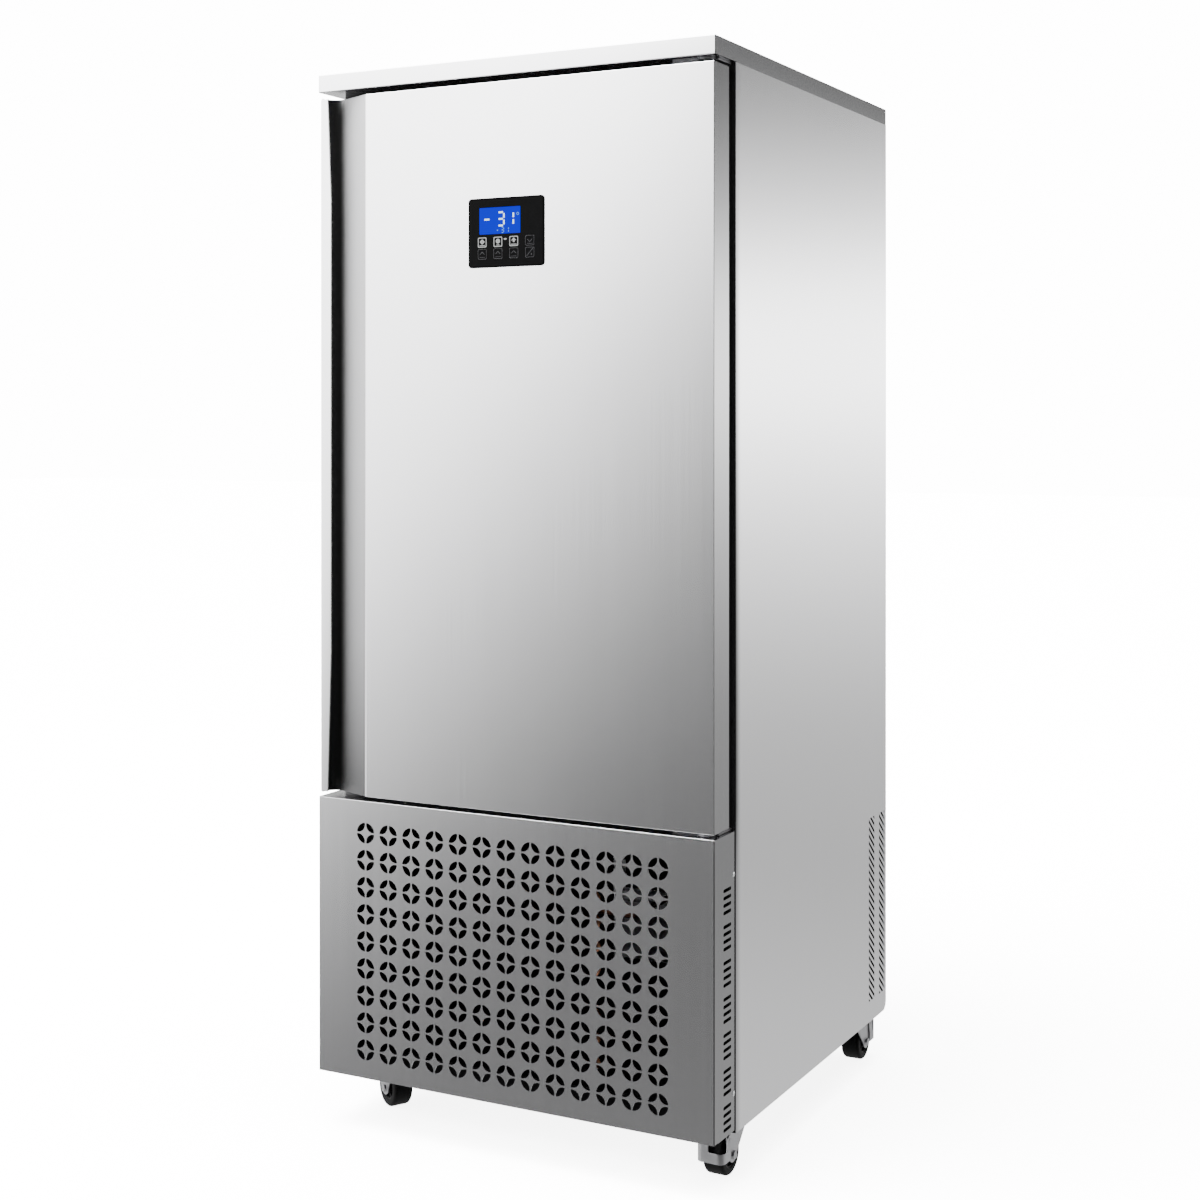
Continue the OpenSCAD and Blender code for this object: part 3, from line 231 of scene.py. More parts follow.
def brushed(
    name, grain, light=(0.79, 0.79, 0.80), dark=(0.73, 0.73, 0.74), roughness=0.17, shade=None, satin=None,
):
    """Brushed stainless steel; grain is X, Y or Z, the way the fine scratches run.

    shade gives painted shade, a darkening of the colour, and satin a dulling, from the Object coordinates."""
    material, at = start(name)
    run = tuple(0.006 if axis == grain else 1.0 for axis in "XYZ")
    hair = noise(at, 1100.0, 1.0, run)
    streak = noise(at, 210.0, 3.0, run)
    cloud = noise(at, 2.6, 4.0)
    grey = hair * 0.45 + streak * 0.55
    rough = roughness + (streak - 0.5) * 0.03 + (cloud - 0.5) * 0.02
    metal = 1.0
    colour = grey.tint(dark, light)
    if shade:
        darkened = {0: colour, "Scale": shade(at)}
        colour = colour.node("ShaderNodeVectorMath", {"operation": "SCALE"}, darkened)
    if satin:
        rough, metal = rough + satin(at) * 0.28, 1.0 - satin(at) * 0.3
    return close(material, colour, rough, metal, hair * 0.5 + streak * 0.5, 0.000006)


def returns(at):
    """Painted shade: 1 on the front faces and 0.36 on the turned-back sides, which are darker in the photo.
    """
    return 1.0 - (at.axis("X").math("ABSOLUTE") > FOLD_X) * 0.64


def add_box(faces, low, high, skip=()):
    """A box between two corners, without the sides named in skip, such as -z."""
    xs, ys, zs = zip(low, high)
    corners = [faces.verts.new((xs[i & 1], ys[i >> 1 & 1], zs[i >> 2])) for i in range(8)]
    sides = {
        "-x": (0, 4, 6, 2), "+x": (1, 3, 7, 5), "-y": (0, 1, 5, 4),
        "+y": (2, 6, 7, 3), "-z": (0, 2, 3, 1), "+z": (4, 5, 7, 6),
    }
    for side, order in sides.items():
        if side not in skip:
            faces.faces.new([corners[i] for i in order])


def flatten(made):
    """Turns an object's live modifiers into its plain mesh."""
    evaluated = made.evaluated_get(bpy.context.evaluated_depsgraph_get())
    plain = bpy.data.meshes.new_from_object(evaluated)
    made.modifiers.clear()
    made.data = plain


def form(faces, ease=0.0, steps=3, wall=0.0, before=(), copies=(), place=None):
    """The built faces, run through trees of nodes, with eased folds, a wall and copies, then set in place."""
    bmesh.ops.remove_doubles(faces, verts=faces.verts, dist=1e-6)
    mesh = bpy.data.meshes.new("form")
    faces.to_mesh(mesh)
    faces.free()
    made = bpy.data.objects.new("form", mesh)
    bpy.context.scene.collection.objects.link(made)
    for tree, values in before:
        add_nodes(made, tree, values)
    if ease:
        fold = made.modifiers.new("folds", "BEVEL")
        fold.width = ease
        fold.segments = steps
        fold.angle_limit = math.radians(20)
        fold.use_clamp_overlap = False
    if wall:
        sheet = made.modifiers.new("wall", "SOLIDIFY")
        sheet.thickness = wall
        sheet.offset = -1
        sheet.use_even_offset = True
    for tree, values in copies:
        add_nodes(made, tree, values)
    flatten(made)
    done = bmesh.new()
    done.from_mesh(made.data)
    bpy.data.objects.remove(made)
    if place:
        done.transform(place)
    return done


def settle(name, parts, finish, like, replaced=(), crisp=36.0):
    """Joins forms into one piece that rides and is painted like a CAD node.

    It stands for the nodes in replaced."""
    mesh = bpy.data.meshes.new(name)
    joined = bmesh.new()
    for part in parts:
        part.to_mesh(mesh)
        part.free()
        joined.from_mesh(mesh)
    for face in joined.faces:
        face.smooth = True
    for edge in joined.edges:
        edge.smooth = edge.is_manifold and edge.calc_face_angle(math.pi) < math.radians(crisp)
    joined.to_mesh(mesh)
    joined.free()
    made = bpy.data.objects.new(name, mesh)
    bpy.context.scene.collection.objects.link(made)
    weighted = made.modifiers.new("flat_faces", "WEIGHTED_NORMAL")
    weighted.keep_sharp = True
    flatten(made)
    made.data.materials.clear()
    made.data.materials.append(finish)
    node = frame["nodes"][like]
    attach(made, body_of(node)[0])
    if replaced:
        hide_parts(*replaced)
    return made


def cover_shade(at):
    """Painted shade: the cover's turned-down sides are darkened, most of all at the back."""
    return 1.0 - (at.axis("X").math("ABSOLUTE") > COVER_FOLD_X) * (at.axis("Y") * 0.3 + 0.66)


cover_steel = brushed("cover_steel", "X", shade=cover_shade)

cover_low, cover_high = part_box("top_cover")
cover_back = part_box("front_frame")[1].y
cover = bmesh.new()
add_box(cover, cover_low, cover_high, ("-z",))
underside = [
    (cover_low.x, cover_low.y), (cover_low.x, cover_back),
    (cover_high.x, cover_back), (cover_high.x, cover_low.y),
]
cover.faces.new([cover.verts.new((x, y, cover_low.z)) for x, y in underside])
settle("cover_sheet", [form(cover, 0.0014, wall=0.001)], cover_steel, "top_cover", ["top_cover"])

# ---------------------------------------------------------------- side panels, bay sheets and hinge brackets
# The side panels are brushed stainless sheet with two columns of slanting louvres cut through. The bay's
# floor tray, posts, hood and electrical box are sheet steel coloured near-black, painted shade of the dark
# bay. The brackets are zinc-plated, and darkened with painted shade.


def wear(finish, *names):
    """Gives CAD nodes a finish."""
    for name in names:
        mesh = frame["nodes"][name].data
        mesh.materials.clear()
        mesh.materials.append(finish)


def eased(finish, width, *names):
    """Pieces made of CAD nodes: their facets merged and shaded smooth, and their edges eased."""
    for name in names:
        faces = bmesh.new()
        faces.from_mesh(frame["nodes"][name].data)
        bmesh.ops.remove_doubles(faces, verts=faces.verts, dist=1e-5)
        bmesh.ops.dissolve_limit(faces, angle_limit=0.01, verts=faces.verts, edges=faces.edges)
        settle(name + "_piece", [form(faces, width, 2)], finish, name, [name])


def beside_door(at):
    """Painted shadow: the dark band that the open joint beside the door casts on the front fold."""
    folded = at.axis("Y").spread(-0.344, -0.318)
    heights = (
        (0.0, 0.45), (0.26, 0.34), (0.32, 0.02), (0.55, 0.02),
        (0.7, 0.08), (0.78, 0.25), (0.86, 0.7), (0.95, 0.8),
    )
    height = (at.axis("Z") * 0.5).ramp(*heights)
    return folded * (1 - height) + height


side_steel = brushed("side_steel", "Z", shade=beside_door)
wear(side_steel, "side_panel_left", "side_panel_right")

# Near-black colour for the bay's parts: painted shade of the dark machine bay.
material, at = start("bay_painted_shade")
orange_peel = noise(at, 240.0, 2.0)
settled = noise(at, 9.0, 4.0)
bay_painted_shade = close(
    material, settled.tint((0.0012, 0.0012, 0.0013), (0.003, 0.003, 0.0032)), 0.55 + settled * 0.15, 0.0,
    orange_peel, 0.00003, specular_ior_level=0.02,
)
wear(bay_painted_shade, "base_tray", "frame_posts", "condenser_shroud")
eased(bay_painted_shade, 0.0012, "electrical_box")

# Zinc plate darkened in colour: painted shade of the dim gaps the brackets sit in.
material, at = start("zinc_darkened_with_painted_shade")
clouds = noise(at, 40.0, 4.0)
zinc_grey_with_painted_shade = clouds.tint((0.10, 0.10, 0.105), (0.17, 0.17, 0.175))
zinc_darkened_with_painted_shade = close(material, zinc_grey_with_painted_shade, 0.42 + clouds * 0.14, 0.9)
eased(zinc_darkened_with_painted_shade, 0.0006, "hinge_brackets")

# ---------------------------------------------------------------- door
# The door's outer skin is one brushed sheet, folded to the back on all four sides. Along its left edge the
# sheet slopes in from a crease and curls into a round finger pocket, behind a bright bent lip.
SLOPE_X = -0.2985  # the sloping part of the door's front lies to the left of this


def arc(centre, radius, start, end, count):
    """Points along an arc in a plane, from one angle in degrees to another."""
    turns = [math.radians(start + (end - start) * i / count) for i in range(count + 1)]
    return [(centre[0] + radius * math.cos(turn), centre[1] + radius * math.sin(turn)) for turn in turns]


def skin(faces, loops, closed=True, ends=False):
    """Faces from each loop of points to the next, and over both ends."""
    rings = [[faces.verts.new(point) for point in loop] for loop in loops]
    for lower, upper in zip(rings, rings[1:]):
        for i in range(len(lower) if closed else len(lower) - 1):
            j = (i + 1) % len(lower)
            faces.faces.new((lower[i], lower[j], upper[j], upper[i]))
    if ends:
        faces.faces.new(rings[0][::-1])
        faces.faces.new(rings[-1])


door_low, door_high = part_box("door_skin")
lip_low, lip_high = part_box("handle_lip")
housing_low, housing_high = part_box("control_housing")
lip_wall = lip_high.y - lip_low.y
pocket_r = 0.022
slope = math.radians(22.5)
crease = door_low.x + 0.1
pocket_x = door_low.x + lip_wall + pocket_r
pocket_y = door_low.y - (pocket_r + (pocket_x - crease) * math.sin(slope)) / math.cos(slope)
pocket = arc((pocket_x, pocket_y), pocket_r, 180, 67.5, 12)
edge = (door_low.x, door_high.y), (door_low.x, door_low.y + lip_wall), (pocket[0][0], door_low.y + lip_wall)
front = [(x, door_low.y) for x in (crease, housing_low.x, housing_high.x, door_high.x)]
door_plan = [*edge, *pocket, *front, (door_high.x, door_high.y)]
door_levels = (door_low.z, housing_low.z, housing_high.z, door_high.z)
door = bmesh.new()
skin(door, [[(x, y, z) for x, y in door_plan] for z in door_levels], closed=False)
door.normal_update()
cut_out = []
for face in door.faces:
    middle = face.calc_center_median()
    across = abs(middle.x) < housing_high.x and face.normal.y < -0.9
    if across and housing_low.z < middle.z < housing_high.z:
        cut_out.append(face)
bmesh.ops.delete(door, geom=cut_out, context="FACES")
for z, order in ((door_low.z, -1), (door_high.z, 1)):
    door.faces.new([door.verts.new((x, y, z)) for x, y in door_plan][::order])


def door_shade(at):
    """Painted shade: the turned-back right side is darkened, the finger pocket is painted nearly black, and
    the slope left of the crease is darkened, most towards the bottom.
    """
    side = (at.axis("X") > FOLD_X) * 0.62
    pocket = 1 - at.axis("X").spread(-0.374, -0.358)
    heights = (0.3, 0.06), (0.45, 0.30), (0.6, 0.42), (1.0, 0.58)
    sloping = (at.axis("X") < SLOPE_X) * (1 - (at.axis("Z") * 0.5).ramp(*heights))
    return (1 - side) * (1 - pocket * 0.9) * (1 - sloping)


door_steel = brushed("door_steel", "Z", shade=door_shade, satin=lambda at: at.axis("X") < SLOPE_X)
settle("door_sheet", [form(door, 0.0012, wall=0.001)], door_steel, "door_skin", ["door_skin"])

lip_end, lip_foot, lip_head = 0.016, 0.258, 0.186  # its width at both ends, and how far it widens from each
lip_shape = [
    (lip_low.x, lip_low.z), (lip_low.x + lip_end, lip_low.z), (lip_high.x, lip_low.z + lip_foot),
    (lip_high.x, lip_high.z - lip_head), (lip_low.x + lip_end, lip_high.z), (lip_low.x, lip_high.z),
]
steel_upright = brushed("steel_upright_grain", "Z")
lip = bmesh.new()
skin(lip, [[(x, y, z) for x, z in lip_shape] for y in (lip_high.y, lip_low.y)], ends=True)
settle("recess_lip", [form(lip, 0.0012)], steel_upright, "handle_lip", ["handle_lip"])

# ---------------------------------------------------------------- door's inner sheet, foam, gasket and bushes
# The inner sheet is pressed with a shallow pan. A black magnetic gasket is pushed into the groove around
# it, with a foot, a folded bellows and a magnet strip. Pale nylon bushes line the two pin holes.


def round_loop(x0, x1, z0, z1, radius, y, count=6):
    """A rounded rectangle in a plane of constant y, anticlockwise from the front."""
    points = []
    for cx, cz, begin in (
        (x1 - radius, z1 - radius, 0), (x0 + radius, z1 - radius, 90),
        (x0 + radius, z0 + radius, 180), (x1 - radius, z0 + radius, 270),
    ):
        points += [(x, y, z) for x, z in arc((cx, cz), radius, begin, begin + 90, count)]
    return points


def nested(low, high, radius, steps, count=6):
    """Rounded rectangles in a box's X and Z, each (inset, y) of the steps drawn in by its inset."""
    loops = []
    for inset, y in steps:
        corner = max(radius - inset, 0.0006)
        sides = (low.x + inset, high.x - inset, low.z + inset, high.z - inset)
        loops.append(round_loop(*sides, corner, y, count))
    return loops


liner_low, liner_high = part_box("door_liner")
gasket_low, gasket_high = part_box("door_gasket")
gasket_w, pan_gap, pan_corner = 0.024, 0.006, 0.012
pan_inset = gasket_low.x - liner_low.x + gasket_w + pan_gap
pan_base = liner_high.y - 0.008
inner_sheet = bmesh.new()
pan_steps = (
    (pan_inset - 0.004, pan_base), (pan_inset - 0.0004, pan_base + 0.0015), (pan_inset, pan_base + 0.004),
    (pan_inset + 0.0006, liner_high.y - 0.002), (pan_inset + 0.003, liner_high.y),
)
pan_low = Vector((liner_low.x, 0, gasket_low.z + gasket_w + pan_gap - pan_inset))
pan_high = Vector((liner_high.x, 0, gasket_high.z - gasket_w - pan_gap + pan_inset))
sheet_edge = nested(liner_low, liner_high, 0.001, ((0.0, pan_base),))
pan = nested(pan_low, pan_high, pan_inset + pan_corner, pan_steps)
skin(inner_sheet, [loop[::-1] for loop in sheet_edge + pan])
inner_sheet.faces.new([inner_sheet.verts.new(point) for point in pan[-1]][::-1])
steel_across = brushed("steel_cross_grain", "X")
settle("door_inner_sheet", [form(inner_sheet, wall=0.001)], steel_across, "door_liner", ["door_liner"])

bellows = (
    (0.0, 0.0), (0.0, 0.004), (0.001, 0.006), (0.006, 0.0065), (0.0035, 0.0095), (0.0075, 0.0115),
    (0.0035, 0.0135), (0.002, 0.0145), (0.001, 0.0155), (0.001, 0.0215), (0.002, 0.0224), (0.022, 0.0224),
    (0.023, 0.0215), (0.023, 0.0155), (0.022, 0.0145), (0.0205, 0.0135), (0.0165, 0.0115), (0.0205, 0.0095),
    (0.018, 0.0065), (0.023, 0.006), (0.024, 0.004), (0.024, 0.0),
)
deep = (gasket_high.y - gasket_low.y) / 0.0224
rubber = [(inset, gasket_low.y + rise * deep) for inset, rise in bellows]
gasket = bmesh.new()
skin(gasket, nested(gasket_low, gasket_high, 0.014, rubber + rubber[:1], 5))
material, at = start("gasket_rubber")
bloom = noise(at, 60.0, 3.0)
soft_black = bloom.tint((0.003, 0.003, 0.0032), (0.006, 0.006, 0.0062))
gasket_rubber = close(material, soft_black, 0.52 + bloom * 0.2, 0.0, bloom, 0.0001, specular_ior_level=0.2)
settle("door_gasket_strip", [form(gasket)], gasket_rubber, "door_gasket", ["door_gasket"])

material, at = start("cream_foam")
cells = at.node("ShaderNodeTexVoronoi", None, {"Vector": at, "Scale": 420.0})
skinning = noise(at, 14.0, 4.0)
cream = (cells * 0.4 + skinning * 0.6).tint((0.62, 0.50, 0.26), (0.86, 0.76, 0.48))
wear(close(material, cream, 0.8 + skinning * 0.1, 0.0, cells, 0.0006), "door_foam", "insulation_shell")

material, at = start("nylon")
milky = noise(at, 120.0, 2.0)
nylon = close(material, milky.tint((0.66, 0.65, 0.60), (0.74, 0.73, 0.69)), 0.38 + milky * 0.1)
eased(nylon, 0.0004, "hinge_bushes")

# ---------------------------------------------------------------- control panel
# A glossy black plate in a shallow black housing, with a blue lit display that shows segment numbers, and
# eight flat keys with printed outlines and icons. A small lamp sits between the second and third key.


def plain(name, low, high, roughness, scale=90.0, metallic=0.0, relief=0.00004, **constants):
    """A finish with a soft mottle between two colours."""
    material, at = start(name)
    mottle = noise(at, scale, 3.0)
    colour = mottle.tint(low, high)
    return close(material, colour, roughness + (mottle - 0.5) * 0.12, metallic, mottle, relief, **constants)


def lit(name, low, high, strength, scale=900.0):
    """A finish that glows between two colours."""
    material, at = start(name)
    grain = noise(at, scale, 1.0)
    base = grain.tint((0.0004, 0.0004, 0.0004), (0.001, 0.001, 0.001))
    lamps = {"emission_color": grain.tint(low, high), "emission_strength": strength}
    return close(material, base, 0.3 + grain * 0.1, **lamps, specular_ior_level=0.01)


def pane(low, high, radius, back, edge=0.0003):
    """A rounded plate whose front edge is eased."""
    made = bmesh.new()
    steps = ((0.0, back), (0.0, low.y + edge), (edge * 0.3, low.y + edge * 0.3), (edge, low.y))
    skin(made, nested(low, high, radius, steps), ends=True)
    return made


def flat_print(outline, front, deep=0.00005, hole=None):
    """A thin printed shape standing on a surface; outline and hole are loops of (x, z)."""
    stages = [(outline, front + deep), (outline, front)]
    if hole:
        stages += [(hole, front), (hole, front + deep)]
    made = bmesh.new()
    skin(made, [[(x, y, z) for x, z in loop] for loop, y in stages], ends=not hole)
    return made


def bar(x0, z0, x1, z1, width):
    """The outline of a straight stroke."""
    run = Vector((x1 - x0, z1 - z0)).normalized() * width / 2
    corners = (x0, z0, 1), (x1, z1, 1), (x1, z1, -1), (x0, z0, -1)
    return [(x + run.y * side, z - run.x * side) for x, z, side in corners]


SEGMENTS = {"-": "g", "1": "bc", "3": "abcdg"}


def digit(shape, x, z, width, height, stroke):
    """The lit segments of one number: a on top, b and c on the right, d at the foot, g in the middle."""
    gap = stroke * 0.62
    right, top, middle = x + width, z + height, z + height / 2
    places = {
        "a": (x + gap, top, right - gap, top), "b": (right, top - gap, right, middle + gap),
        "c": (right, middle - gap, right, z + gap), "d": (x + gap, z, right - gap, z),
        "g": (x + gap, middle, right - gap, middle),
    }
    return [bar(*places[one], stroke) for one in SEGMENTS[shape]]


housing_plastic = plain(
    "housing_plastic", (0.002, 0.002, 0.002), (0.004, 0.004, 0.004), 0.5, specular_ior_level=0.1,
)
eased(housing_plastic, 0.0008, "control_housing")

plate_low, plate_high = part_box("control_plate")
material, at = start("gloss_black")
rim_x = (at.axis("X") - (plate_low.x + plate_high.x) / 2).math("ABSOLUTE") - (plate_high.x - plate_low.x) / 2
rim_z = (at.axis("Z") - (plate_low.z + plate_high.z) / 2).math("ABSOLUTE") - (plate_high.z - plate_low.z) / 2
inward = rim_x.math("MAXIMUM", rim_z)
dust = noise(at, 70.0, 4.0)
within = 1 - inward.spread(-0.0032, -0.0024)
panel_grey = (within * (0.5 + dust * 0.5)).tint((0.0003, 0.0003, 0.0003), (0.0022, 0.0022, 0.0023))
gloss = close(material, panel_grey, 0.16 + dust * 0.12, 0.0, dust, 0.00001, specular_ior_level=0.015)
eased(gloss, 0.0004, "control_plate")

lcd_low, lcd_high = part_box("lcd_window")
blue = lit("lcd_blue", (0.0, 0.0, 0.92), (0.0, 0.006, 1.0), 0.95)
lcd_pane = form(pane(lcd_low, lcd_high, 0.0015, lcd_high.y, 0.0002))
settle("lcd_pane", [lcd_pane], blue, "lcd_window", ["lcd_window"])
bright = lit("lcd_segments", (0.62, 0.95, 1.0), (0.8, 1.0, 1.0), 2.2)
pale = lit("lcd_pale", (0.1, 0.4, 1.0), (0.2, 0.55, 1.0), 1.3)
lcd_x, lcd_z, lcd_y = lcd_low.x, lcd_low.z, lcd_low.y - 0.00008
large, small = [], []
for shape, shift, width in (("-", 0.0085, 0.0138), ("3", 0.0375, 0.0125), ("1", 0.0565, 0.0125)):
    large += digit(shape, lcd_x + shift, lcd_z + 0.0142, width, 0.0232, 0.003)
settle("lcd_number", [flat_print(stroke, lcd_y) for stroke in large], bright, "lcd_window")
for shape, shift in (("3", 0.0448), ("1", 0.0545)):
    small += digit(shape, lcd_x + shift, lcd_z + 0.0018, 0.0048, 0.0092, 0.0014)
small.append(bar(lcd_x + 0.036, lcd_z + 0.0062, lcd_x + 0.0382, lcd_z + 0.0062, 0.002))
degree = [arc((lcd_x + 0.0778, lcd_z + 0.0335), radius, 0, 342, 19) for radius in (0.0026, 0.0016)]
prints = [flat_print(stroke, lcd_y) for stroke in small] + [flat_print(degree[0], lcd_y, hole=degree[1])]
settle("lcd_second_line", prints, pale, "lcd_window")

key_plastic = plain(
    "key_plastic", (0.0009, 0.0009, 0.001), (0.0018, 0.0018, 0.002), 0.3, specular_ior_level=0.015,
)
# The key prints glow white as painted light; the status lamp glows with the same finish.
print_with_painted_glow_and_lamp = lit("print_with_painted_glow_and_lamp", (0.72, 0.74, 0.74), (0.95, 0.96, 0.96), 0.85)
grey_print = plain("grey_print", (0.026, 0.026, 0.028), (0.04, 0.04, 0.042), 0.5, specular_ior_level=0.05)


def disc(x, z, radius):
    """The outline of a round dot."""
    return arc((x, z), radius, 0, 345, 23)


def frame_of(x, z, half, stroke):
    """A rounded square drawn as a line: its outer and inner loops."""
    loops = []
    for size in (half, half - stroke):
        loops.append([(u, w) for u, _, w in round_loop(x - size, x + size, z - size, z + size, 0.0022, 0)])
    return loops


def drawn(points, x, z):
    """An outline drawn around the origin, moved to its key."""
    return [(x + u, z + w) for u, w in points]


for number in range(1, 9):
    key_name = "key_" + str(number)
    key_low, key_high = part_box(key_name)
    x, z, y = (key_low.x + key_high.x) / 2, (key_low.z + key_high.z) / 2, key_low.y - 0.00006
    cap = form(pane(key_low, key_high, 0.0025, key_high.y, 0.0002))
    settle(key_name + "_cap", [cap], key_plastic, key_name, [key_name])
    outer, inner = frame_of(x, z, 0.0088, 0.0015 if number < 4 else 0.0006)
    marks = [flat_print(outer, y, hole=inner)]
    if number == 1:
        rhomb = drawn([(-0.0052, 0.001), (0, -0.0038), (0.0052, 0.001), (0, 0.0058)], x, z)
        core = drawn([(-0.0012, 0.001), (0, -0.0002), (0.0012, 0.001), (0, 0.0022)], x, z)
        marks.append(flat_print(rhomb, y, hole=core))
    elif number == 2:
        marks.append(flat_print(disc(x, z + 0.0012, 0.0042), y, hole=disc(x, z + 0.0012, 0.0008)))
    elif number == 3:
        peak = (-0.0056, 0.0008), (0, 0.0062), (0.0056, 0.0008), (0.0028, 0.0016), (-0.0028, 0.0016)
        marks += [flat_print(drawn(peak, x, z), y), flat_print(disc(x, z + 0.0002, 0.0021), y)]
    elif number == 8:
        slash = bar(x - 0.006, z - 0.0064, x + 0.006, z + 0.0064, 0.0009)
        marks += [flat_print(slash, y), flat_print(disc(x + 0.0034, z - 0.0036, 0.0012), y)]
    else:
        tip, foot = (-0.0028, 0.002) if number == 4 else (0.0042, -0.0006)
        for x0, z0, x1, z1 in ((-0.0048, foot, 0.0003, tip), (-0.0003, tip, 0.0048, foot)):
            marks.append(flat_print(bar(x + x0, z + z0, x + x1, z + z1, 0.0009), y))
    if number < 8:
        width = 0.003 if number == 2 else 0.0055
        underline = bar(x - width, z - 0.0055, x + width, z - 0.0055, 0.0013 if number < 4 else 0.0006)
        marks.append(flat_print(underline, y))
    settle(key_name + "_print", marks, print_with_painted_glow_and_lamp if number < 4 else grey_print, key_name)
key_low, key_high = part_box("key_2")
lamp_z = (key_low.z + key_high.z) / 2 + 0.0044
lamp_edge = [(-0.0012 + 0.0031 * u, lamp_z + 0.0015 * w) for u, w in arc((0, 0), 1, 0, 340, 17)]
lamp = flat_print(lamp_edge, plate_low.y - 0.0001, 0.0002)
settle("status_lamp", [lamp], print_with_painted_glow_and_lamp, "control_plate")

# ---------------------------------------------------------------- front panel of the machine bay
# One folded stainless sheet with a field of pierced ornaments of four petals each. Its sides fold back and
# carry groups of small slots, and two domed cross-head screws hold each side.


def new_tree(name, **inputs):
    """An empty tree of geometry nodes with named inputs, its first wire, and its inputs by name."""
    tree = bpy.data.node_groups.new(name, "GeometryNodeTree")
    tree.interface.new_socket("Geometry", in_out="OUTPUT", socket_type="NodeSocketGeometry")
    for key, kind in {"Geometry": "Geometry", "Finish": "Material", **inputs}.items():
        tree.interface.new_socket(key, in_out="INPUT", socket_type="NodeSocket" + kind)
    entry = tree.nodes.new("NodeGroupInput")
    return tree, {socket.name: Wire(tree, socket) for socket in entry.outputs if socket.name}


def close_tree(geometry, finish):
    """Makes the geometry real, gives it a finish and ends its tree."""
    realized = geometry.node("GeometryNodeRealizeInstances", None, {0: geometry})
    painted = geometry.node("GeometryNodeSetMaterial", None, {"Geometry": realized, "Material": finish})
    geometry.node("NodeGroupOutput", None, {"Geometry": painted})


def add_nodes(made, tree, values):
    """Runs a tree of geometry nodes on an object, its inputs set by name."""
    run = made.modifiers.new(tree.name, "NODES")
    run.node_group = tree
    for item in tree.interface.items_tree:
        if item.in_out == "INPUT" and item.name in values:
            run[item.identifier] = values[item.name]


# copies in a row, each a step further on and a turn further round than the one before
copies_tree, given = new_tree("copies", Count="Int", Step="Vector", Turn="Vector")
row = given["Count"].node("GeometryNodeMeshLine", None, {"Count": given["Count"], "Offset": given["Step"]})
index = row.node("GeometryNodeInputIndex")
turned = row.node("ShaderNodeVectorMath", {"operation": "SCALE"}, {0: given["Turn"], "Scale": index})
spread_out = {"Points": row, "Instance": given["Geometry"], "Rotation": turned}
close_tree(row.node("GeometryNodeInstanceOnPoints", None, spread_out), given["Finish"])

# a sheet around loops of edges, which become holes in it
pierced_tree, given = new_tree("pierced_sheet", Width="Float", Height="Float")
holes = given["Geometry"].node("GeometryNodeMeshToCurve", None, {"Mesh": given["Geometry"]})
sides = {"Width": given["Width"], "Height": given["Height"]}
border = holes.node("GeometryNodeCurvePrimitiveQuadrilateral", None, sides)
loops = holes.node("GeometryNodeJoinGeometry", None, {"Geometry": [holes, border]})
close_tree(holes.node("GeometryNodeFillCurve", None, {"Curve": loops}), given["Finish"])


def rows(finish, count, step=(0.0, 0.0, 0.0), turn=(0.0, 0.0, 0.0)):
    """The copies tree with its values, for form()."""
    return copies_tree, {"Count": count, "Step": step, "Turn": turn, "Finish": finish}


def pierced(finish, loops, width, height, *runs):
    """A flat sheet facing +Z, centred on the origin, with a pattern of holes."""
    holes = bmesh.new()
    for loop in loops:
        corners = [holes.verts.new((x, y, 0)) for x, y in loop]
        for i, corner in enumerate(corners):
            holes.edges.new((corner, corners[(i + 1) % len(corners)]))
    values = {"Width": width, "Height": height, "Finish": finish}
    return form(holes, wall=0.001, before=[*runs, (pierced_tree, values)])


def bordered(faces, place, outer, inner):
    """The flat frame between two upright rectangles, each (low u, high u, low z, high z).

    place puts (u, z) in space."""
    rings = []
    for u0, u1, z0, z1 in (outer, inner):
        rings.append([faces.verts.new(place(u, z)) for u, z in ((u0, z0), (u1, z0), (u1, z1), (u0, z1))])
    for i in range(4):
        j = (i + 1) % 4
        faces.faces.new((rings[0][i], rings[0][j], rings[1][j], rings[1][i]))


motif_pitch, motif_r, petal_w, petal_gap = 0.0492, 0.0189, 0.0110, 5.8
petal_tip = math.radians(45 - petal_gap)
chord = motif_r * math.sin(petal_tip)
inner_edge = petal_w - motif_r + motif_r * math.cos(petal_tip)
inner_r = (chord ** 2 + inner_edge ** 2) / (2 * inner_edge)
inner_at = (motif_r - petal_w + inner_r) / math.sqrt(2)
half_turn = math.degrees(math.asin(chord / inner_r))
petal = arc((0, 0), motif_r, petal_gap, 90 - petal_gap, 12)
petal += arc((inner_at, inner_at), inner_r, 225 - half_turn, 225 + half_turn, 10)[1:-1]
quarters = [Matrix.Rotation(math.radians(turn), 2) for turn in (0, 90, 180, 270)]
motif = [[tuple(quarter @ Vector(point)) for point in petal] for quarter in quarters]

grille_low, grille_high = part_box("front_grille")
motifs_x, motifs_z, field_margin, field_rise = 13, 9, 0.022, 0.052
reach_x, reach_z = motif_pitch * (motifs_x // 2), motif_pitch * (motifs_z // 2)
field_x, field_z = reach_x + field_margin, reach_z + field_margin
field_mid = grille_low.z + field_rise + reach_z
first_motif = [[(x - reach_x, y - reach_z) for x, y in loop] for loop in motif]
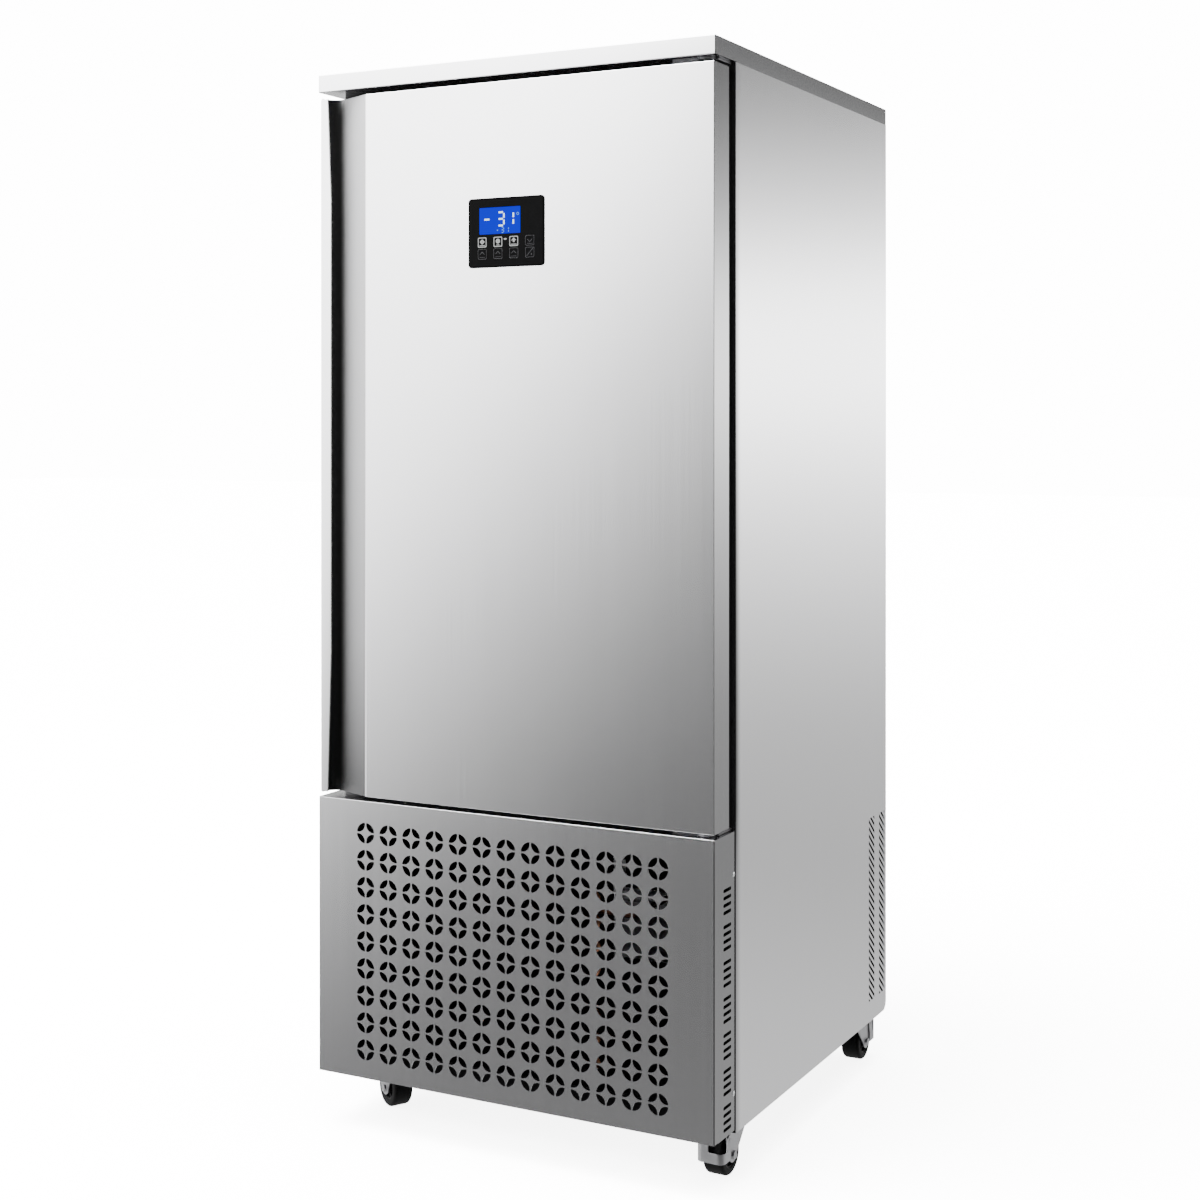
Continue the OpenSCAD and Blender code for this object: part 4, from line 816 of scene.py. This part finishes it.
# The pierced panel's steel is coloured darker than the door's: painted shade of the low front panel.
grille_steel_with_painted_shade = brushed("grille_steel_with_painted_shade", "Z", (0.66, 0.66, 0.67), (0.62, 0.62, 0.63), 0.19, returns)
field = pierced(
    grille_steel_with_painted_shade, first_motif, 2 * field_x, 2 * field_z,
    rows(grille_steel_with_painted_shade, motifs_x, (motif_pitch, 0.0, 0.0)),
    rows(grille_steel_with_painted_shade, motifs_z, (0.0, motif_pitch, 0.0)),
)
field.transform(Matrix.Translation((0, grille_low.y, field_mid)) @ Matrix.Rotation(math.radians(90), 4, "X"))
folded = bmesh.new()
folded_high = (grille_high.x, grille_high.y - 0.005, grille_high.z)
add_box(folded, grille_low, folded_high, ("+y", "-y", "-x", "+x", "-z"))
front_face = (grille_low.x, grille_high.x, grille_low.z, grille_high.z)
field_edge = (-field_x, field_x, field_mid - field_z, field_mid + field_z)
bordered(folded, lambda u, z: (u, grille_low.y, z), front_face, field_edge)

slot_long, slot_high, slot_pitch, group_pitch = 0.032, 0.006, 0.0123, 0.0603
slot_y, slot_top = grille_low.y + 0.0515, grille_high.z - 0.092
slots_mid = slot_top - group_pitch * 3 - slot_pitch * 1.5  # seven groups of four slots
slots_w, slots_h = slot_long + 0.006, group_pitch * 6 + slot_pitch * 3 + slot_high + 0.006
slot_r = slot_high / 2
slot_end = slot_long / 2 - slot_r
slot = arc((slot_end, 0), slot_r, -90, 90, 8) + arc((-slot_end, 0), slot_r, 90, 270, 8)
first_slot = [[(x, y - group_pitch * 3 - slot_pitch * 1.5) for x, y in slot]]
pieces = [field]
for side in (-1, 1):
    slotted = pierced(
        grille_steel_with_painted_shade, first_slot, slots_w, slots_h,
        rows(grille_steel_with_painted_shade, 4, (0.0, slot_pitch, 0.0)), rows(grille_steel_with_painted_shade, 7, (0.0, group_pitch, 0.0)),
    )
    upright = Matrix.Rotation(math.radians(90 * side), 4, "Z") @ Matrix.Rotation(math.radians(90), 4, "X")
    slotted.transform(Matrix.Translation((side * grille_high.x, slot_y, slots_mid)) @ upright)
    pieces.append(slotted)
    turned_back = (grille_low.y, grille_high.y, grille_low.z, grille_high.z)
    slots_edge = (
        slot_y - slots_w / 2, slot_y + slots_w / 2, slots_mid - slots_h / 2, slots_mid + slots_h / 2,
    )
    if side < 0:
        turned_back = (turned_back[1], turned_back[0], *turned_back[2:])
        slots_edge = (slots_edge[1], slots_edge[0], *slots_edge[2:])
    bordered(folded, lambda u, z: (side * grille_high.x, u, z), turned_back, slots_edge)
hem = bmesh.new()
hem_corners = ((grille_low.x, 0), (grille_high.x, 0), (grille_high.x, 0.013), (grille_low.x, 0.013))
hem.faces.new([hem.verts.new((x, grille_low.y + 0.0005 + y, grille_low.z)) for x, y in hem_corners][::-1])
pieces += [form(folded, 0.0014, wall=0.001), form(hem, wall=0.001)]
settle("pierced_panel", pieces, grille_steel_with_painted_shade, "front_grille", ["front_grille"])

material, at = start("bright_zinc")
wash = noise(at, 26.0, 4.0)
fine = noise(at, 700.0, 2.0)
zinc_tint = wash.tint((0.58, 0.59, 0.60), (0.74, 0.75, 0.76))
zinc_plate = close(material, zinc_tint, 0.2 + fine * 0.14, 1.0, fine, 0.00002)
screws_low, screws_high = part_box("panel_screws")
screw_y, screw_r = (screws_low.y + screws_high.y) / 2, (screws_high.y - screws_low.y) / 2
socket_r, dome_high, socket_floor = 0.0018, 0.0014, 0.0007
dome = (
    (screw_r, 0.0), (screw_r, 0.0004), (screw_r * 0.9, 0.0009), (screw_r * 0.7, 0.0012),
    (screw_r * 0.4, dome_high), (socket_r, dome_high),
)
cross = []
for turn in range(0, 360, 15):
    near = abs((turn + 45) % 90 - 45)
    reach = 0.0017 if near < 8 else 0.0006
    cross.append((math.cos(math.radians(turn)) * reach, math.sin(math.radians(turn)) * reach))
socket_rim = [(dome_high, y, w) for y, w in arc((0, 0), socket_r, 0, 345, 23)]
socket_edge = [(dome_high, y, w) for y, w in cross]
socket_foot = [(socket_floor, y * 0.7, w * 0.7) for y, w in cross]
heads = []
for side in (-1, 1):
    for z in (screws_low.z + screw_r, screws_high.z - screw_r):
        head = bmesh.new()
        skin(head, [[(rise, y, w) for y, w in arc((0, 0), r, 0, 345, 23)] for r, rise in dome])
        skin(head, [socket_rim, socket_edge, socket_foot])
        head.faces.new([head.verts.new(point) for point in socket_foot])
        place = Matrix.Translation((side * grille_high.x, screw_y, z)) @ Matrix.Scale(side, 4, (1, 0, 0))
        heads.append(form(head, place=place))
settle("panel_screw_heads", heads, zinc_plate, "panel_screws", ["panel_screws"])

# ---------------------------------------------------------------- back panel
# A sheet of galvanised steel with a fine crystal spangle closes the back. Behind each of its air slots a
# blade slants down, to stop a straight look or poke through the slot.
material, at = start("galvanised_sheet")
facet = at.node("ShaderNodeTexVoronoi", None, {"Vector": at, "Scale": 90.0, "Randomness": 1.0}, 1).axis("X")
dull = noise(at, 5.0, 3.0)
spangle = (facet * 0.6 + dull * 0.4).tint((0.44, 0.45, 0.47), (0.62, 0.63, 0.65))
galvanised = close(material, spangle, 0.34 + facet * 0.18, 0.9)

panel = bmesh.new()
panel.from_mesh(frame["nodes"]["back_panel"].data)
bmesh.ops.remove_doubles(panel, verts=panel.verts, dist=1e-5)
bmesh.ops.dissolve_limit(panel, angle_limit=0.01, verts=panel.verts, edges=panel.edges)
panel_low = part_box("back_panel")[0]
vent_low, vent_pitch, vent_w, vent_h = 0.24, 0.022, 0.084, 0.008
vent_columns, column_pitch, first_column, blade_lap = 5, 0.1, -0.2, 0.006
vent_rows = int((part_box("insulation_shell")[0].z - 0.08 - vent_low) / vent_pitch + 1.001)
blade_y, blade_top = panel_low.y + 0.0002, vent_low + vent_h / 2 + 0.002
blade_foot = blade_top - vent_h - blade_lap
blade_fall = (blade_y, blade_top), (blade_y - 0.002, blade_top), (blade_y - 0.009, blade_foot)
blade_ends = (first_column - vent_w / 2 - blade_lap, vent_w / 2 + blade_lap + first_column)
blade = bmesh.new()
skin(blade, [[(x, y, z) for y, z in blade_fall] for x in blade_ends], closed=False)
across = rows(galvanised, vent_columns, (column_pitch, 0.0, 0.0))
upward = rows(galvanised, vent_rows, (0.0, 0.0, vent_pitch))
blades = form(blade, wall=0.0008, copies=[across, upward])
settle("back_sheet", [form(panel), blades], galvanised, "back_panel", ["back_panel"])

# ---------------------------------------------------------------- casters
# Each caster has a zinc-plated top plate and kingpin, a pressed fork, and a black rubber tyre moulded on a
# black plastic hub with six ribs. The right-hand ones have a brake pedal, a strap bent round the wheel.
material, at = start("caster_zinc")
rolled = noise(at, 60.0, 4.0)
worn = noise(at, 500.0, 2.0)
rolled_grey = rolled.tint((0.30, 0.30, 0.31), (0.42, 0.42, 0.43))
caster_zinc = close(material, rolled_grey, 0.34 + worn * 0.14, 1.0, worn, 0.00003)


def block(low, high, ease=0.0, **more):
    """A form of one box between two corners."""
    faces = bmesh.new()
    add_box(faces, low, high)
    return form(faces, ease, **more)


def lathed(profile, count=48, **more):
    """A form turned around Y from (radius, y) points."""
    loops = []
    for radius, y in profile:
        ring = arc((0, 0), max(radius, 1e-7), 0, 360 - 360 / count, count - 1)
        loops.append([(x, y, z) for x, z in ring])
    faces = bmesh.new()
    skin(faces, loops)
    return form(faces, **more)


corners = ("front_left", "front_right", "rear_left", "rear_right")
eased(caster_zinc, 0.0005, "caster_plates", *("fork_" + corner for corner in corners))
eased(caster_zinc, 0.0006, "brake_front_right", "brake_rear_right")

tyre = plain(
    "tyre_rubber", (0.0018, 0.0018, 0.0019), (0.004, 0.004, 0.0042), 0.6, 120.0,
    relief=0.0001, specular_ior_level=0.1,
)
hub_black = plain("hub_plastic", (0.006, 0.006, 0.0065), (0.011, 0.011, 0.0115), 0.45, specular_ior_level=0.2)
joints = {joint["child"]: joint for joint in frame["joints"]}
half, tread_r = 0.019, 0.006
for corner in corners:
    wheel = "wheel_" + corner
    axle = Vector(joints[wheel]["axis"]).normalized()
    low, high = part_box(wheel)
    wheel_r = (high.z - low.z) / 2
    toward_axle = Vector((0, 1, 0)).rotation_difference(axle).to_matrix().to_4x4()
    at_axle = Matrix.Translation((low + high) / 2) @ toward_axle
    shoulder = wheel_r - tread_r
    section = [
        (wheel_r - 0.0125, -half), *arc((shoulder, -half + tread_r), tread_r, -90, 0, 6),
        (wheel_r - 0.0001, 0.0), *arc((shoulder, half - tread_r), tread_r, 0, 90, 6),
        (wheel_r - 0.0125, half), (wheel_r - 0.0135, half - 0.001), (wheel_r - 0.0135, 0.001 - half),
    ]
    band = lathed(section + section[:1], 64, place=at_axle)
    settle("tyre_" + corner, [band], tyre, wheel, [wheel])
    rim = wheel_r - 0.0137
    core = [
        (0.0045, half), (0.0105, half), (0.0115, half - 0.001), (0.0115, 0.004), (rim - 0.003, 0.004),
        (rim - 0.002, half - 0.002), (rim, half - 0.002),
    ]
    core += [(r, -y) for r, y in reversed(core)] + core[:1]
    body = lathed(core, place=at_axle)
    ribs = block(
        (0.011, 0.0035 - half, -0.0012), (rim - 0.002, half - 0.0035, 0.0012),
        copies=[rows(hub_black, 6, turn=(0.0, math.radians(60), 0.0))], place=at_axle,
    )
    settle("hub_" + corner, [body, ribs], hub_black, wheel)

# ---------------------------------------------------------------- chamber: liner, front frame and tray racks
# The inner box is brushed stainless with rounded corners. A dark plastic frame around its mouth carries the
# door's seal. Each rack is 15 folded slides of 1 mm sheet on two posts, pegged to the wall.
inner_steel = brushed("inner_steel", "Y", (0.72, 0.72, 0.73), (0.66, 0.66, 0.67), 0.34)
eased(inner_steel, 0.0, "chamber_liner")
frame_plastic = plain(
    "frame_plastic", (0.007, 0.007, 0.0075), (0.012, 0.012, 0.0125), 0.45, specular_ior_level=0.25,
)
eased(frame_plastic, 0.0005, "front_frame")

levels, level_pitch, slide_leg, post_d = 15, 0.07, 0.016, 0.0123
sideways = Matrix.Rotation(math.radians(-90), 4, "Z")
for side, rack in ((-1, "tray_rack_left"), (1, "tray_rack_right")):
    low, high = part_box(rack)
    if side < 0:
        low, high = Vector((-high.x, low.y, low.z)), Vector((-low.x, high.y, high.z))
    back, ledge = low.x + 0.023, low.x
    slide_low = low.z + 0.088 - 0.02
    bend = arc((back - 0.002, slide_low + 0.002), 0.002, -90, 0, 4)
    profile = [(ledge, slide_low + 0.004), (ledge + 0.0004, slide_low), *bend, (back, slide_low + slide_leg)]
    slide = bmesh.new()
    skin(slide, [[(x, y, z) for x, z in profile] for y in (high.y, low.y)], closed=False)
    parts = [form(slide, wall=0.001, copies=[rows(inner_steel, levels, (0.0, 0.0, level_pitch))])]
    for y in (low.y + 0.04, high.y - 0.06):
        parts.append(block((back + 0.0003, y, low.z), (back + post_d, y + 0.016, high.z), 0.001))
        peg = (0.0, 0.0), (0.0045, 0.0), (0.005, 0.0005), (0.005, 0.0247), (0.0, 0.0247)
        rise = high.z - low.z - 0.07
        at_wall = Matrix.Translation((back + post_d - 0.0003, y + 0.008, low.z + 0.04)) @ sideways
        parts.append(lathed(peg, 20, copies=[rows(inner_steel, 2, (0.0, 0.0, rise))], place=at_wall))
    if side < 0:
        for part in parts:
            part.transform(Matrix.Scale(-1, 4, (1, 0, 0)))
            bmesh.ops.reverse_faces(part, faces=part.faces)
    settle(rack + "_slides", parts, inner_steel, rack, [rack])

# ---------------------------------------------------------------- chamber: fans, guards, coil and pan
# A stainless panel with two rolled rings divides the tray space from the coil. Behind welded wire guards
# turn two black five-bladed fans on motors. The coil has copper tubes through thin aluminium fins.
eased(inner_steel, 0.0006, "fan_panel", "drip_tray")
eased(zinc_plate, 0.0, "fan_guards")
motor_black = plain(
    "motor_enamel", (0.005, 0.005, 0.0055), (0.009, 0.009, 0.0095), 0.4, specular_ior_level=0.25,
)
eased(motor_black, 0.0015, "chamber_fan_motors", "condenser_motor")


def axial_fan(node, blades, finish):
    """A moulded fan around Y: twisted blades with a sweep, and a ribbed hub."""
    low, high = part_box(node)
    tip, half = (high.x - low.x) / 2, (high.y - low.y) / 2
    hub = tip * 0.2
    sections = []
    for i in range(11):
        out = i / 10
        r = hub * 0.9 + (tip - 0.0006 - hub * 0.9) * out
        pitch = math.radians(48 - 22 * out)
        chord = tip * (0.36 + 0.3 * out - 0.12 * out ** 4)
        section = []
        for j in range(9):
            along = j / 8 - 0.5
            camber = (0.25 - along ** 2) * 0.18 * chord
            depth = along * chord * math.sin(pitch) + camber * math.cos(pitch)
            sweep = along * chord * math.cos(pitch) - camber * math.sin(pitch)
            round_by = sweep / max(r, hub * 1.6) + 0.35 * out ** 2
            depth = max(min(depth, half - 0.0015), 0.0015 - half)
            section.append((r * math.cos(round_by), depth, r * math.sin(round_by)))
        sections.append(section)
    blade = bmesh.new()
    skin(blade, sections, closed=False)
    centre = Matrix.Translation((low + high) / 2)
    turn = (0.0, 2 * math.pi / blades, 0.0)
    vanes = form(blade, wall=0.0016, copies=[rows(finish, blades, turn=turn)], place=centre)
    boss = (
        (0.0, -half), (hub * 0.75, -half), (hub * 0.95, -half + 0.002), (hub, -half + 0.006), (hub, half),
        (hub * 0.9, half), (hub * 0.86, half - 0.012), (0.0, half - 0.012),
    )
    settle(node + "_rotor", [vanes, lathed(boss, place=centre)], finish, node, [node])


fan_black = plain(
    "fan_plastic", (0.004, 0.004, 0.0045), (0.008, 0.008, 0.0085), 0.36, specular_ior_level=0.25,
)
axial_fan("chamber_fan_low", 5, fan_black)
axial_fan("chamber_fan_high", 5, fan_black)


def tube(start, end, radius, sides, **more):
    """A form of one straight round tube."""
    ahead = (end - start).normalized()
    side = (end - start).orthogonal().normalized()
    over = ahead.cross(side)
    circle = arc((0, 0), 1, 0, 360 - 360 / sides, sides - 1)
    faces = bmesh.new()
    rings = [[here + side * radius * u + over * radius * w for u, w in circle] for here in (start, end)]
    skin(faces, rings, ends=True)
    return form(faces, **more)


fins_grey = plain("fin_aluminium", (0.66, 0.67, 0.68), (0.78, 0.79, 0.80), 0.34, 40.0, 1.0)
copper = plain("copper_tube", (0.60, 0.27, 0.15), (0.80, 0.42, 0.26), 0.3, 30.0, 1.0)
TUBE_R, PLATE_T, FIN_T = 0.0044, 0.002, 0.0003


def finned_coil(node, fin_pitch, bend_rows, low, high):
    """Thin fins between two end plates, and copper tubes that run through them into return bends."""
    count = int((high.x - low.x - 0.008) / fin_pitch)
    fin_low = (low.x + 0.004, low.y + 0.001, low.z + 0.002)
    fin_high = (low.x + 0.004 + FIN_T, high.y - 0.001, high.z - 0.002)
    fin_step = ((high.x - low.x - 0.008 - FIN_T) / (count - 1), 0.0, 0.0)
    parts = [block(fin_low, fin_high, copies=[rows(fins_grey, count, fin_step)])]
    for x in (low.x, high.x - PLATE_T):
        parts.append(block((x, low.y, low.z), (x + PLATE_T, high.y, high.z), 0.0006))
    pitch = (high.z - low.z - 0.04) / bend_rows
    middle_y = (low.y + high.y) / 2
    first = low.z + 0.02 + pitch / 2
    reach = pitch / 4 - 0.0002
    circle = arc((0, 0), 1, 0, 342, 19)
    pipes = []
    for side, x in ((-1, low.x), (1, high.x)):
        rings = []
        for turn in range(-90, 91, 15):
            out, rise = side * math.cos(math.radians(turn)), math.sin(math.radians(turn))
            here, radial = Vector((x + reach * out, middle_y, first + reach * rise)), Vector((out, 0, rise))
            rings.append([here + radial * TUBE_R * u + Vector((0, TUBE_R * w, 0)) for u, w in circle])
        bend = bmesh.new()
        skin(bend, rings, ends=True)
        pipes.append(form(bend, copies=[rows(copper, bend_rows, (0.0, 0.0, pitch))]))
    ends = [Vector((x, middle_y, first - pitch / 4)) for x in (low.x, high.x)]
    pipes.append(tube(*ends, TUBE_R, 12, copies=[rows(copper, bend_rows * 2, (0.0, 0.0, pitch / 2))]))
    settle(node + "_tubes", pipes, copper, node)
    return parts


box_low, box_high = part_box("evaporator_coil")
chamber_low, chamber_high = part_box("chamber_liner")
core_half, core_d = 0.298, 0.07
core_low = Vector((-core_half, box_low.y, box_low.z))
core_high = Vector((core_half, box_low.y + core_d, box_high.z))
parts = finned_coil("evaporator_coil", 0.005, 14, core_low, core_high)
for x in (core_low.x, core_high.x - 0.02):
    for z in (chamber_low.z + 0.121, chamber_high.z - 0.161):
        parts.append(block((x, core_high.y - 0.002, z), (x + 0.02, box_high.y, z + 0.03), 0.001))
settle("evaporator_coil_fins", parts, fins_grey, "evaporator_coil", ["evaporator_coil"])

# ---------------------------------------------------------------- machine bay: condenser with its fan
# The condenser stands behind the pierced panel, with a sheet hood and a four-bladed fan that draws air
# through it. Its tubes are copper, and its fins are coloured near-black, painted shade of the dark bay.
box_low, box_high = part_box("condenser_coil")
hood_low, hood_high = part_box("condenser_shroud")
core_low = Vector((hood_low.x, box_low.y, box_low.z + 0.004))
core_high = Vector((hood_high.x, box_high.y, box_high.z))
parts = finned_coil("condenser_coil", 0.0036, 9, core_low, core_high)
for x in (core_low.x, core_high.x - PLATE_T):
    parts.append(block((x, box_low.y, box_low.z), (x + PLATE_T, box_high.y, core_low.z + 0.001)))
settle("condenser_coil_fins", parts, bay_painted_shade, "condenser_coil", ["condenser_coil"])
axial_fan("condenser_fan", 4, fan_black)

# ---------------------------------------------------------------- machine bay: compressor, receiver and pipes
# The compressor is a welded steel shell in black enamel, on a foot plate over four rubber feet. The receiver
# is an upright black vessel. The drier and the bent lines are copper, coloured nearly black as painted shade
# of the dark bay.
enamel = plain(
    "black_enamel", (0.002, 0.002, 0.0021), (0.004, 0.004, 0.0042), 0.28, 24.0, specular_ior_level=0.2,
)
upright = Matrix.Rotation(math.radians(90), 4, "X")


def vessel(radius, height, edge, seam):
    """The profile of a welded shell standing on the origin, its ends domed and a seam bead around it."""
    bead = radius + 0.0024
    return [
        (0.0, 0.0), *arc((radius - edge, edge), edge, -90, 0, 8),
        (radius, seam - 0.003), (bead, seam - 0.0015), (bead, seam + 0.0015), (radius, seam + 0.003),
        *arc((radius - edge, height - edge), edge, 0, 90, 8), (0.0, height),
    ]


low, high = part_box("compressor")
shell_r, plate_w = 0.0896, 0.196
shell_y = high.y - plate_w / 2
at_shell = Matrix.Translation((high.x - plate_w / 2, shell_y, low.z)) @ upright
shell = vessel(shell_r, high.z - low.z, 0.03, (high.z - low.z) * 0.55)
parts = [
    lathed(shell, place=at_shell),
    block((high.x - plate_w, high.y - plate_w, low.z), (high.x, high.y, low.z + 0.004), 0.0015),
    block((low.x, shell_y - 0.026, low.z + 0.086), (low.x + 0.04, shell_y + 0.026, low.z + 0.148), 0.003),
]
settle("compressor_shell", parts, enamel, "compressor", ["compressor"])
eased(tyre, 0.002, "compressor_feet")

low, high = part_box("liquid_receiver")
vessel_r = (high.x - low.x) / 2 - 0.0024
at_vessel = Matrix.Translation(((low.x + high.x) / 2, (low.y + high.y) / 2, low.z + 0.014)) @ upright
body_h = high.z - low.z - 0.026
ring_in, ring_out = vessel_r * 0.66, vessel_r * 0.7
ring = (ring_in, -0.014), (ring_out, -0.014), (ring_out, 0.008), (ring_in, 0.008), (ring_in, -0.014)
valve = (
    (0.0, body_h - 0.004), (0.009, body_h - 0.004), (0.009, body_h + 0.009), (0.007, body_h + 0.011),
    (0.007, body_h + 0.012), (0.0, body_h + 0.012),
)
tank = vessel(vessel_r, body_h, vessel_r * 0.6, body_h / 2)
parts = [lathed(profile, count, place=at_vessel) for profile, count in ((tank, 48), (ring, 48), (valve, 6))]
settle("receiver_vessel", parts, enamel, "liquid_receiver", ["liquid_receiver"])
# Copper coloured nearly black: painted shade of the dark machine bay.
bay_copper_painted_shade = plain("copper_with_painted_shade", (0.022, 0.010, 0.006), (0.040, 0.018, 0.011), 0.42, 30.0, 1.0)
eased(bay_copper_painted_shade, 0.001, "filter_drier")
eased(bay_copper_painted_shade, 0.0, "refrigerant_pipes")

gland_nylon = plain("gland_nylon", (0.016, 0.016, 0.017), (0.028, 0.028, 0.03), 0.4)
eased(gland_nylon, 0.0006, "cable_gland")
